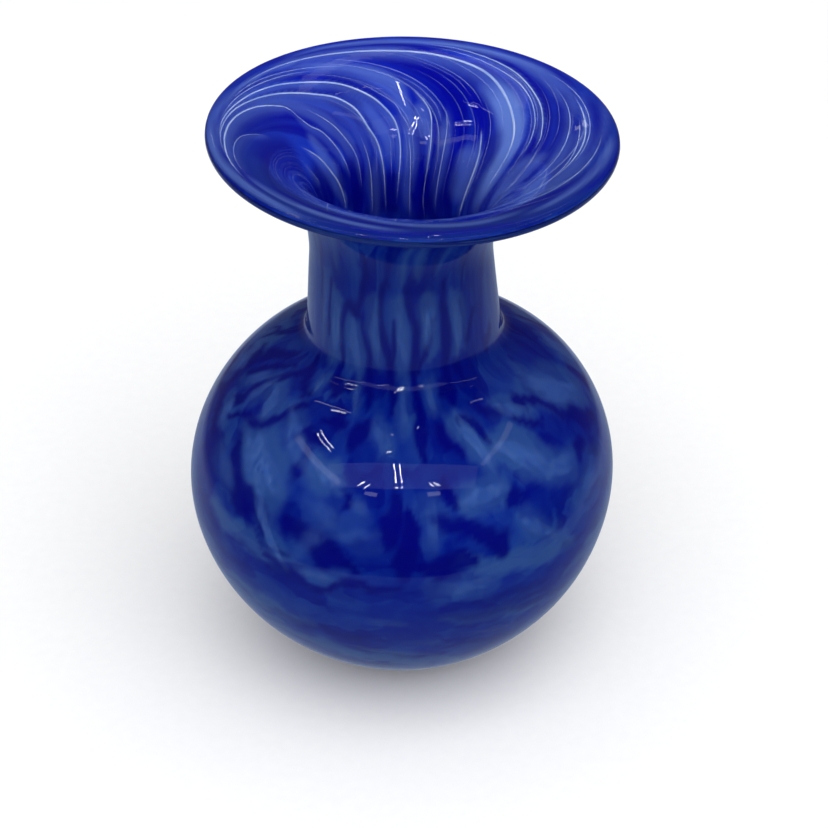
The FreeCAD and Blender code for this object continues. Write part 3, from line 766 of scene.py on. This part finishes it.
def cobalt():
    """Coloured glass: blue frit over cobalt, drawn out along the turn of the vase."""
    n = material("cobalt_glass")
    where = n.attribute("flow", "Vector")
    push = n.add("TexNoise", {"Vector": where, "Scale": 6.0, "Detail": 2.0}).outputs["Color"]
    push = n.add("VectorMath", {0: push, 1: (0.5, 0.5, 0.5)}, operation="SUBTRACT").outputs[0]
    push = n.add("VectorMath", {0: push, "Scale": 0.22}, operation="SCALE").outputs[0]
    place = n.add("VectorMath", {0: where, 1: push}, operation="ADD").outputs[0]
    cells = n.add("TexVoronoi", {"Vector": place, "Scale": 5.2, "Smoothness": 0.16}, feature="SMOOTH_F1")
    shard = n.add("SeparateColor", {0: cells.outputs["Color"]}).outputs[0]
    cloudy = n.noise(where, 3.2, 2.5, Distortion=0.5)
    drawn = n.noise(where, 12.0, 2.0, (1.0, 1.0, 0.5), Distortion=0.5)
    grain = n.noise(where, 60.0, 2.0)
    tone = n.total((cloudy, 0.55), (drawn, 0.20), (shard, 0.25))
    ground = n.ramp(tone, (0.36, GROUND_DEEP), (0.52, GROUND_MID), (0.70, GROUND_PALE))
    patchy = n.total((shard, 0.36), (drawn, 0.26), plus=0.50)
    cloud = n.math("MULTIPLY", n.attribute("cloud"), patchy)
    outer = n.blend(cloud, ground, CLOUD)
    vein = n.math("MULTIPLY", n.attribute("vein"), n.total((cloudy, 0.3), plus=0.76))
    outer = n.blend(vein, outer, VEIN)
    # The lighter inside ramp is partly painted light: the glow through the thin wall of the mouth.
    inner = n.ramp(tone, (0.38, INSIDE_DEEP), (0.66, INSIDE_MID))
    # Painted shade, with the lip's own muted blue: the inside darkens towards the lip, most on the side
    # nearest the camera.
    inner = n.blend(n.attribute("lip"), inner, LIP_BLUE_AND_SHADE)
    inner = n.blend(n.attribute("dark"), inner, INSIDE_DARK)
    # Pale veils and threads, and the painted reflection along the far rim.
    inner = n.blend(n.attribute("veil"), inner, VEIL_AND_RIM_SHEEN)
    colour = n.blend(n.attribute("inside"), outer, inner)
    colour = n.blend(n.total((grain, 0.05)), colour, GROUND_MID)
    skin = n.add("BsdfPrincipled", {"Base Color": colour, "Roughness": 0.6, "Specular IOR Level": 0.0})
    lit = n.add("BsdfTranslucent", {"Color": colour})
    mix = n.add("MixShader", {0: 0.18, 1: skin.outputs[0], 2: lit.outputs[0]})
    return n.finish(mix.outputs[0])


def soft_cover(name, pale, deep, most):
    """Pale glass that thins out to nothing at its edges."""
    n = material(name)
    where = n.attribute("flow", "Vector")
    speck = n.noise(where, 34.0, 4.0, (1.0, 1.0, 0.6), Distortion=0.5)
    colour = n.ramp(speck, (0.3, deep), (0.7, pale))
    cover = n.math("MULTIPLY", n.attribute("milk"), n.total((speck, 0.6), plus=most))
    skin = n.add("BsdfPrincipled", {
        "Base Color": colour, "Roughness": 0.6, "Specular IOR Level": 0.0, "Alpha": cover})
    return n.finish(skin.outputs[0])


def pontil_glass():
    """Snapped glass of the pontil mark: ripples round the break and a frosted edge."""
    n = material("pontil_glass")
    where = n.add("TexCoord").outputs["Object"]
    ripple = n.add("TexWave", {"Vector": where, "Scale": 160.0, "Distortion": 6.0, "Detail": 2.0},
                   wave_type="RINGS", rings_direction="Z")
    rough = n.noise(where, 500.0, 3.0)
    height = n.total((ripple.outputs["Fac"], 1.0), (rough, 0.5))
    bump = n.add("Bump", {"Height": height, "Strength": 0.5, "Distance": 0.0006})
    frost = n.add("MapRange", {"Value": rough, "To Min": 0.08, "To Max": 0.4})
    glass = n.add("BsdfPrincipled", {
        "Base Color": srgb(205, 216, 240), "Roughness": frost.outputs[0], "IOR": 1.5,
        "Transmission Weight": 0.85, "Normal": bump.outputs[0]})
    return n.finish(glass.outputs[0])


CLEAR = clear_glass("clear_glass", (0.97, 0.985, 1.0, 1.0), 0.05, 0.004)
CORE = clear_glass("core_glass", (0.90, 0.93, 1.0, 1.0), 0.045, 0.05)
FUSED = fused()
COBALT = cobalt()
FRIT = soft_cover("powder_blue_frit", srgb(74, 110, 176), srgb(44, 80, 158), 0.10)
MILK = soft_cover("pale_blue_trails", srgb(212, 226, 252), srgb(150, 182, 238), 0.50)
PONTIL = pontil_glass()


# --------------------------------------------------------------- the pieces
def flow_of(azimuth, station):
    """Where a point of the wall was before the glass was drawn and twisted.

    The lower body was squeezed into level streaks and the neck drawn long.
    """
    turn = np.radians(azimuth - swirl(station))
    rise = np.interp(station, (-40.0, 0.0, 80.0, 125.0, TRUMPET_FOOT, 165.0, 209.0),
                     (-1.2, 0.0, 2.4, 3.1, 3.2, 3.42, 3.75))
    return np.stack([np.cos(turn), np.sin(turn), rise], -1)


def note_flow(piece, turns, stations, ends):
    """Stores the flow of a turned piece. ends are the heights for its two axis vertices."""
    flow = flow_of(turns, stations)
    note(piece, "flow", np.concatenate([flow, [[0, 0, end] for end in ends]]))


def make_casing():
    """Outer clear glass with its resting ring and the lip folded over the colour."""
    inner_depth = CASING_WALL + 0.15
    kick = np.linspace(0.0, 1.0, 9)[:-1]
    under = np.stack([KICK_RADIUS * kick, KICK_RISE * (1.0 - kick ** 2) + 0.02], -1)
    outer = np.linspace(LENGTH[0], flare_station(RIM_TURN), 190)
    lip_centre = polar(FLARE, FLARE_ARC + FULL_WALL / 2, RIM_TURN)
    lip = polar(lip_centre, FULL_WALL / 2, np.linspace(RIM_TURN - 180.0, RIM_TURN, 18)[1:])
    fold = np.linspace(RIM_TURN, CORE_TURN, 3)[1:]
    over = polar(FLARE, FLARE_ARC + FULL_WALL, fold)
    tuck = polar(FLARE, FLARE_ARC + np.array([FULL_WALL - 0.5, inner_depth]), CORE_TURN)
    down = wall_rows(inner_depth, np.linspace(flare_station(CORE_TURN) - 0.6, heel_station(CASING_WALL), 90))
    floor = floor_rows(CASING_WALL)[::-1]
    floor = floor + np.array([0.0, 0.15])
    floor[-1, 0] = 0.0
    loop = np.concatenate([under, wall_rows(0.0, outer), lip, over, tuck, down, floor[1:]])
    seen = len(under) + len(outer) + len(lip) + len(over)
    verts, faces, bands, turns = turned(loop, COLUMNS)
    slots = (bands >= seen - 1).astype(int)
    piece = mesh_object("clear_casing", verts, faces, slots, (CLEAR, FUSED))
    station = np.interp(np.arange(len(loop)), np.arange(len(under), len(under) + len(outer)), outer)
    note_flow(piece, turns, np.repeat(station[1:-1], COLUMNS), (-0.1, -0.2))
    piece.visible_shadow = False
    return piece


def make_cobalt():
    """Coloured layer: painted outside with veins and frit, and inside with veils, with painted shade towards
    the near lip and a painted reflection along the far rim.
    """
    columns = COBALT_COLUMNS
    top = flare_station(COLOUR_TURN)
    outer = np.linspace(heel_station(CASING_WALL), top, 124)
    mouth = np.linspace(top, TRUMPET_FOOT, 94)
    below = np.linspace(132.0, heel_station(CASING_WALL + COBALT_WALL), 14)
    inner = np.concatenate([mouth, below])
    depth = CASING_WALL + COBALT_WALL
    bottom = floor_rows(CASING_WALL, 4, 5)
    upper = floor_rows(depth, 4, 5)[::-1]
    loop = np.concatenate([bottom[:-1], wall_rows(CASING_WALL, outer), wall_rows(depth, inner), upper[1:]])
    verts, faces, _, turns = turned(loop, columns)
    piece = mesh_object("cobalt_layer", verts, faces, None, (COBALT,))
    station = np.concatenate([np.linspace(-40, outer[0], len(bottom) - 1), outer, inner,
                              np.linspace(inner[-1], -40, len(upper) - 1)])
    side = np.concatenate([np.zeros(len(bottom) - 1 + len(outer)), np.ones(len(inner) + len(upper) - 1)])
    shape = (len(loop) - 2, columns)
    azimuth = turns.reshape(shape)
    stations = np.repeat(station[1:-1], columns).reshape(shape)
    radius = np.repeat(np.maximum(loop[1:-1, 0], 2.0), columns).reshape(shape)
    inside = np.repeat(side[1:-1], columns).reshape(shape)
    out = inside[:, 0] < 0.5
    vein, cloud, dark, veil, lip = (np.zeros(shape) for _ in range(5))
    vein[out], cloud[out] = outside_colour(azimuth[out], stations[out], radius[out])
    dark[~out], veil[~out] = inside_colour(azimuth[~out], stations[~out], radius[~out])
    # Painted shade, partly the lip's own muted blue: from a length of 184 mm the inside darkens towards the
    # lip, fully on the side nearest the camera and not at all on the far side, and a little all round at the
    # very lip.
    near = 0.5 - 0.5 * np.sin(np.radians(azimuth))
    lip[~out] = (smooth((stations - 184.0) / 20.0) * near + smooth((stations - 205.5) / 4.0) * 0.15)[~out]
    lip = np.clip(lip, 0.0, 0.92)
    for name, values in (("vein", vein), ("cloud", cloud), ("dark", dark), ("veil", veil), ("lip", lip),
                         ("inside", inside)):
        note(piece, name, np.append(values.ravel(), [values[0, 0], values[-1, 0]]))
    note_flow(piece, turns, stations.ravel(), (-0.8, -0.7))
    return piece


def make_core():
    """Inner clear glass, the surface seen inside the mouth."""
    outer_depth = CASING_WALL + COBALT_WALL - 0.15
    top = flare_station(CORE_TURN)
    up = np.linspace(heel_station(CASING_WALL + COBALT_WALL), top, 70)
    down = np.linspace(top, heel_station(FULL_WALL), 150)
    bottom = floor_rows(CASING_WALL + COBALT_WALL) + np.array([0.0, -0.15])
    bottom[0, 0] = 0.0
    upper = floor_rows(FULL_WALL)[::-1]
    loop = np.concatenate([bottom[:-1], wall_rows(outer_depth, up), wall_rows(FULL_WALL, down), upper[1:]])
    verts, faces, bands, turns = turned(loop, COLUMNS)
    inner_from = len(bottom) - 1 + len(up)
    slots = (bands < inner_from).astype(int)
    piece = mesh_object("inner_core", verts, faces, slots, (CORE, FUSED))
    floor = np.linspace(down[-1], -40, len(upper) - 1)
    station = np.concatenate([np.zeros(len(bottom) - 1), up, down, floor])
    note_flow(piece, turns, np.repeat(station[1:-1], COLUMNS), (-0.8, -0.7))
    piece.visible_shadow = False
    return piece


def soft_piece(name, verts, faces, flow, milk, material_used, sharp=40.0):
    """A piece of many soft edged parts, with their flow and milkiness."""
    piece = mesh_object(name, np.concatenate(verts), faces, None, (material_used,), sharp)
    note(piece, "flow", np.concatenate(flow))
    note(piece, "milk", np.concatenate(milk))
    return piece


def ribbon(path, half, depth, sides=8, steps=9, thick=0.10):
    """A flat thread of glass along a path of (azimuth, length along the wall)."""
    points = curve(path, steps)
    count = len(points)
    radius = at(points[:, 1], depth)[0]
    tangent = np.gradient(points, axis=0) * np.stack([np.radians(radius), np.ones(count)], -1)
    tangent /= np.linalg.norm(tangent, axis=1)[:, None] + 1e-9
    gone = np.linspace(0.0, 1.0, count)
    width = half * np.sqrt(np.clip(np.sin(math.pi * np.clip(gone, 0.004, 0.996)), 0.0, 1.0))
    verts, stations, azimuths = [], [], []
    for k in range(sides):
        turn = 2 * math.pi * k / sides
        out = width * math.cos(turn)
        azimuth = points[:, 0] + np.degrees(out * tangent[:, 1] / radius)
        station = points[:, 1] - out * tangent[:, 0]
        lift = depth + thick * math.sin(turn) * width / half
        r, z = at(station, lift)
        verts.append(settle(r, azimuth, z))
        stations.append(station)
        azimuths.append(azimuth)
    verts = np.stack(verts, 1).reshape(-1, 3)
    flow = flow_of(np.stack(azimuths, 1).ravel(), np.stack(stations, 1).ravel())
    faces = []
    for row in range(count - 1):
        faces.extend(band(row * sides, (row + 1) * sides, sides))
    faces.append(list(range(sides))[::-1])
    faces.append(list(range((count - 1) * sides, count * sides)))
    return verts, faces, flow, np.repeat(smooth(np.minimum(gone, 1.0 - gone) / 0.3), sides)


def make_trails():
    """Pale threads drawn up through the neck and swirled out into the mouth."""
    depth = CASING_WALL + COBALT_WALL + 0.13
    top = flare_station(CORE_TURN)
    strands = [(half, milk, outside_path(path)) for half, milk, _, *path in THREADS]
    for _ in range(60):
        a, s = rng.uniform(-90, 115), rng.uniform(150, 192)
        drawn = drawn_path(a, s, min(s + rng.uniform(16, 40), top - 1), 7)
        path = [(azimuth + rng.normal(0, 0.3), station) for azimuth, station in drawn]
        strands.append((rng.uniform(0.08, 0.16), rng.uniform(0.04, 0.14), path))
    for a in np.arange(250.0, 330.0, 20.0):
        s = rng.uniform(146, 160)
        path = drawn_path(a, s, min(s + rng.uniform(24, 40), top - 2), 8)
        strands.append((rng.uniform(0.16, 0.26), rng.uniform(0.2, 0.45), path))
    verts, faces, flow, milk, start = [], [], [], [], 0
    for half, white, path in strands:
        v, f, w, m = ribbon([(a, min(s, top - 0.8)) for a, s in path], half, depth)
        verts.append(v)
        faces.extend([[start + k for k in face] for face in f])
        flow.append(w)
        milk.append(m * white)
        start += len(v)
    return soft_piece("drawn_trails", verts, faces, flow, milk, MILK)


def chip(half, pale, path, start, rings=9, around=40):
    """One thin lens with a ragged outline. start is the number of its first vertex."""
    (a0, s0), (a1, s1) = path[0], path[-1]
    a, s = (a0 + a1) / 2, (s0 + s1) / 2
    r = float(at(s, CASING_WALL)[0])
    run = np.array([math.radians(a1 - a0) * r, s1 - s0])
    size = np.linalg.norm(run)
    run = run / (size + 1e-9)
    turn = np.linspace(0.0, 2 * math.pi, around, endpoint=False)
    phases = rng.uniform(0, 2 * math.pi, 5)
    ragged = 1.0 + sum(0.16 / (k + 1) ** 0.7 * np.sin((k + 2) * turn + phases[k]) for k in range(5))
    outline = np.stack([(size / 2 + half) * np.cos(turn) * ragged, half * np.sin(turn) * ragged], -1)
    verts, flow, milk = [], [], []
    for back in (0, 1):
        for ring in range(back, rings + 1 - back):
            share = ring / rings
            u = outline * share
            dx = u[:, 0] * run[0] - u[:, 1] * run[1]
            dy = u[:, 0] * run[1] + u[:, 1] * run[0]
            azimuth, station = a + np.degrees(dx / r), s + dy
            bulge = 0.07 * math.sqrt(1.0 - share ** 2)
            radius, height = at(station, CASING_WALL + (0.05 + bulge if back else -0.03 - bulge))
            cover = np.full(around, pale * (1.0 - float(smooth((share - 0.35) / 0.62))))
            kept = slice(0, 1 if ring == 0 else around)
            verts.append(settle(radius, azimuth, height)[kept])
            flow.append(flow_of(azimuth, station)[kept])
            milk.append(cover[kept])
    front = [start + 1 + ring * around for ring in range(rings)]
    back = [front[-1] + ring * around for ring in range(1, rings)]
    faces = fan(start, front[0], around)
    for first, second in zip(front, front[1:]):
        faces.extend(band(second, first, around, corner=3))
    for first, second in zip(back, [*back[1:], front[-1]]):
        faces.extend(band(second, first, around, flip=True, corner=3))
    faces.append([back[0] + k for k in range(around)][::-1])
    return verts, faces, flow, milk


def make_chips():
    """Melted chips of powder blue frit, each a thin lens with a ragged outline."""
    spots = [(0.72 * half, pale, path) for half, pale, *path in CLOUDS]
    for _ in range(34):
        a, s = rng.uniform(2, 178), rng.uniform(78, 124)
        path = [(a, s), (a + rng.normal(6, 5), s - rng.uniform(1, 7))]
        spots.append((rng.uniform(2.4, 6.0), rng.uniform(0.4, 0.9), path))
    for _ in range(26):
        a, s = rng.uniform(-180, 180), rng.uniform(16, 66)
        path = [(a, s), (a + rng.uniform(8, 20), s - rng.uniform(1, 4))]
        spots.append((rng.uniform(1.6, 3.2), rng.uniform(0.2, 0.5), path))
    verts, faces, flow, milk = [], [], [], []
    for half, pale, path in spots:
        made = chip(half, pale, path, sum(len(block) for block in verts))
        for whole, part in zip((verts, faces, flow, milk), made):
            whole.extend(part)
    return soft_piece("frit_chips", verts, faces, flow, milk, FRIT, 80.0)


def make_pontil():
    """Rough disc of glass left in the hollow of the base by the pontil rod."""
    lowest, highest = [np.array(corner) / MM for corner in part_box("pontil_seal")]
    radius, low, high = (highest[0] - lowest[0]) / 2, lowest[2], highest[2]
    columns, rings = 96, 20
    turn = np.linspace(0.0, 2 * math.pi, columns, endpoint=False)
    verts = [[0.0, 0.0, low + 0.35], [0.0, 0.0, high - 0.05]]
    for side in (0, 1):
        for ring in range(1, rings + 1):
            share = ring / rings
            chipped = 1.0 + 0.035 * np.sin(3 * turn + 0.8) + 0.02 * np.sin(7 * turn + 2.0)
            r = radius * share * np.minimum(chipped, 1.0)
            crater = 0.38 * math.cos(share * 9.0) * (1.0 - share)
            crater = crater + 0.14 * np.sin(5 * turn + 6 * share) * share
            base = low + 0.35 - np.abs(crater) * 0.4 + 0.9 * max(0.0, share - 0.86) / 0.14
            hollow = high - 0.05 - 0.82 * share ** 2
            z = np.minimum(base, hollow - 0.1) if side == 0 else np.full(columns, hollow)
            verts.extend(np.stack([r * np.cos(turn), r * np.sin(turn), z + 0 * r], -1).tolist())
    lower = [2 + ring * columns for ring in range(rings)]
    upper = [start + rings * columns for start in lower]
    faces = fan(0, lower[0], columns, flip=True) + fan(1, upper[0], columns)
    for ring in range(rings - 1):
        faces.extend(band(lower[ring], lower[ring + 1], columns))
        faces.extend(band(upper[ring], upper[ring + 1], columns, flip=True))
    faces.extend(band(lower[-1], upper[-1], columns))
    return mesh_object("pontil_seal", np.array(verts) * MM, faces, None, (PONTIL,))


def place(piece, node, slot):
    """Rides a piece on the one body, in place of its CAD node."""
    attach(piece, "root")
    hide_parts(node)


place(make_casing(), "clear_casing", "clear_glass")
place(make_chips(), "frit_chips", "powder_blue_frit")
place(make_cobalt(), "cobalt_layer", "cobalt_glass")
place(make_trails(), "drawn_trails", "pale_blue_trails")
place(make_core(), "inner_core", "core_glass")
place(make_pontil(), "pontil_seal", "pontil_glass")


# ------------------------------------------------------- floor, light, camera
def reflected(n):
    """1 for rays mirrored off the glass, and 0 for all others."""
    path = n.add("LightPath").outputs
    straight = n.math("SUBTRACT", 1.0, path["Is Transmission Ray"])
    return n.math("MULTIPLY", path["Is Glossy Ray"], straight)


def make_floor():
    """A pale floor. The glass mirrors the world's soft lower half in its place."""
    size, rise = 4.0, -0.0002
    verts = np.array([(-size, -size, rise), (size, -size, rise), (size, size, rise), (-size, size, rise)])
    n = material("pale_floor")
    speck = n.noise(n.add("NewGeometry").outputs["Position"], 300.0, 2.0)
    pale = n.blend(speck, (0.88, 0.88, 0.89, 1.0), (0.92, 0.92, 0.92, 1.0))
    shader = n.add("BsdfDiffuse", {"Color": pale})
    floor = mesh_object("pale_floor", verts, [[0, 1, 2, 3]], None, (n.finish(shader.outputs[0]),))
    floor.visible_glossy = False


def make_world():
    """Even studio light. Mirrored in the glass it is a dim room."""
    world = bpy.data.worlds.new("studio")
    bpy.context.scene.world = world
    n = Nodes(world, "OutputWorld")
    even = n.add("Background", {"Color": (1.0, 1.0, 1.0, 1.0), "Strength": 0.78})
    where = n.add("SeparateXYZ", {0: n.add("TexCoord").outputs["Generated"]}).outputs
    level = n.total((where["Z"], 0.5), plus=0.5)
    front = n.ramp(level, (0.00, (0.17, 0.225, 0.33, 1.0)), (0.14, (0.11, 0.155, 0.25, 1.0)),
                   (0.24, (0.09, 0.125, 0.21, 1.0)), (0.30, (0.145, 0.20, 0.30, 1.0)),
                   (0.308, (0.022, 0.022, 0.030, 1.0)), (0.80, (0.026, 0.028, 0.036, 1.0)))
    back = n.ramp(level, (0.00, (0.24, 0.30, 0.42, 1.0)), (0.24, (0.28, 0.35, 0.49, 1.0)),
                  (0.31, (0.32, 0.39, 0.55, 1.0)), (0.36, (0.10, 0.10, 0.14, 1.0)),
                  (0.56, (0.04, 0.04, 0.06, 1.0)), (0.80, (0.08, 0.08, 0.11, 1.0)))
    turn = n.add("MapRange", {"Value": where["Y"], "From Min": -0.35, "From Max": 0.75},
                 interpolation_type="SMOOTHSTEP").outputs[0]
    room = n.blend(turn, front, back)
    dim = n.add("Background", {"Color": room, "Strength": 1.0})
    mix = n.add("MixShader", {0: reflected(n), 1: even.outputs[0], 2: dim.outputs[0]})
    n.finish(mix.outputs[0])


CENTRE = Vector((0.0, 0.0, 0.08))


def lamp(name, azimuth, elevation, wide, high, radiance, roll=0.0, shows="both", tint=(1.0, 1.0, 1.0),
         centre=CENTRE, far=2.0):
    """A soft panel seen from the vase at a bearing right of the camera and an elevation.

    wide and high are the angles in degrees that it fills. shows is both, glint for
    a lamp that is only mirrored in the glass, or fill for one that isn't mirrored.
    """
    a, e = math.radians(azimuth), math.radians(elevation)
    back = Vector((math.sin(a) * math.cos(e), -math.cos(a) * math.cos(e), math.sin(e)))
    data = bpy.data.lights.new(name, "AREA")
    data.shape = "RECTANGLE"
    data.size = 2 * far * math.tan(math.radians(wide / 2))
    data.size_y = 2 * far * math.tan(math.radians(high / 2))
    data.energy = radiance * math.pi * data.size * data.size_y
    data.color = tint
    panel = bpy.data.objects.new(name, data)
    panel.location = centre + back * far
    panel.rotation_mode = "QUATERNION"
    panel.rotation_quaternion = Quaternion(back, math.radians(roll)) @ back.to_track_quat("Z", "Y")
    panel.visible_camera = False
    panel.visible_glossy = shows != "fill"
    panel.visible_transmission = shows != "glint"
    panel.visible_diffuse = shows != "glint"
    bpy.context.scene.collection.objects.link(panel)


def make_camera():
    """Camera at the viewing angle of the picture."""
    target = Vector((0.0, 0.0, 0.08036))
    far, elevation = 0.750, math.radians(34.895)
    back = Vector((0.0, -math.cos(elevation), math.sin(elevation)))
    data = bpy.data.cameras.new("camera")
    data.sensor_width = 36.0
    data.lens = 110.75
    data.shift_x = 0.0157
    data.shift_y = -0.0206
    data.clip_start = 0.05
    camera = bpy.data.objects.new("camera", data)
    camera.location = target + back * far
    camera.rotation_mode = "QUATERNION"
    camera.rotation_quaternion = back.to_track_quat("Z", "Y")
    bpy.context.scene.collection.objects.link(camera)
    bpy.context.scene.camera = camera


make_camera()
make_floor()
make_world()
lamp("key", 20, 66, 60, 50, 1.75, shows="fill")
lamp("low_fill", -8, 14, 80, 26, 1.0, shows="fill")
lamp("haze_panel", -2, 46.5, 74, 17, 0.36, tint=(0.86, 1.0, 1.08))
lamp("mouth_strip", -3.0, 73.0, 0.7, 26.0, 24.0, -1.5, "glint",
     centre=Vector((0.055, 0.042, 0.155)), far=0.35)
GLINTS = (
    # bearing, elevation, width, height, radiance, roll
    (-6.9, 48, 0.35, 12.5, 64, 9.5),
    (-2.7, 48, 0.35, 12.5, 64, 9.5),
    (-4.8, 39, 0.5, 1.4, 30, 0),
    (-1.2, 39, 0.5, 1.4, 30, 0),
    (-27.6, 38, 0.6, 4, 22, -35),
    (-24.2, 37.2, 0.6, 4, 22, -35),
    (18.8, 39, 0.6, 3, 22, 35),
    (21.6, 39, 0.6, 3, 22, 35),
    (-20.3, 33, 7, 2.6, 1.6, 0),
    (18.5, 33.2, 6, 2.6, 1.6, 0),
    (-69.6, 50.8, 13.5, 0.3, 30, 0),
    (-69, 48.6, 13.5, 0.3, 30, 0),
    (-63, 38, 36, 4, 0.8, -7),
    (73, 43, 30, 2.8, 0.7, 6),
    (-88, 60.3, 7.6, 0.6, 14, 54),
    (-14, 61.5, 2.2, 0.7, 16, 30),
    (-14.8, 70.5, 1.2, 0.9, 3, 0),
    (-95, 58.5, 21, 0.5, 2.4, 53),
    (92, 65, 22, 0.5, 2.4, -49),
    (-168.5, 33.2, 3, 1.7, 2, 0),
    (-164, 31.4, 2.6, 1.6, 1.7, 0),
    (180, 60, 60, 7, 0.5, 0),
)
for k, (bearing, elevation, wide, high, radiance, roll) in enumerate(GLINTS):
    lamp(f"glint_{k}", bearing, elevation, wide, high, radiance, roll, "glint")

bpy.context.scene.view_settings.view_transform = "Standard"
bpy.context.view_layer.update()
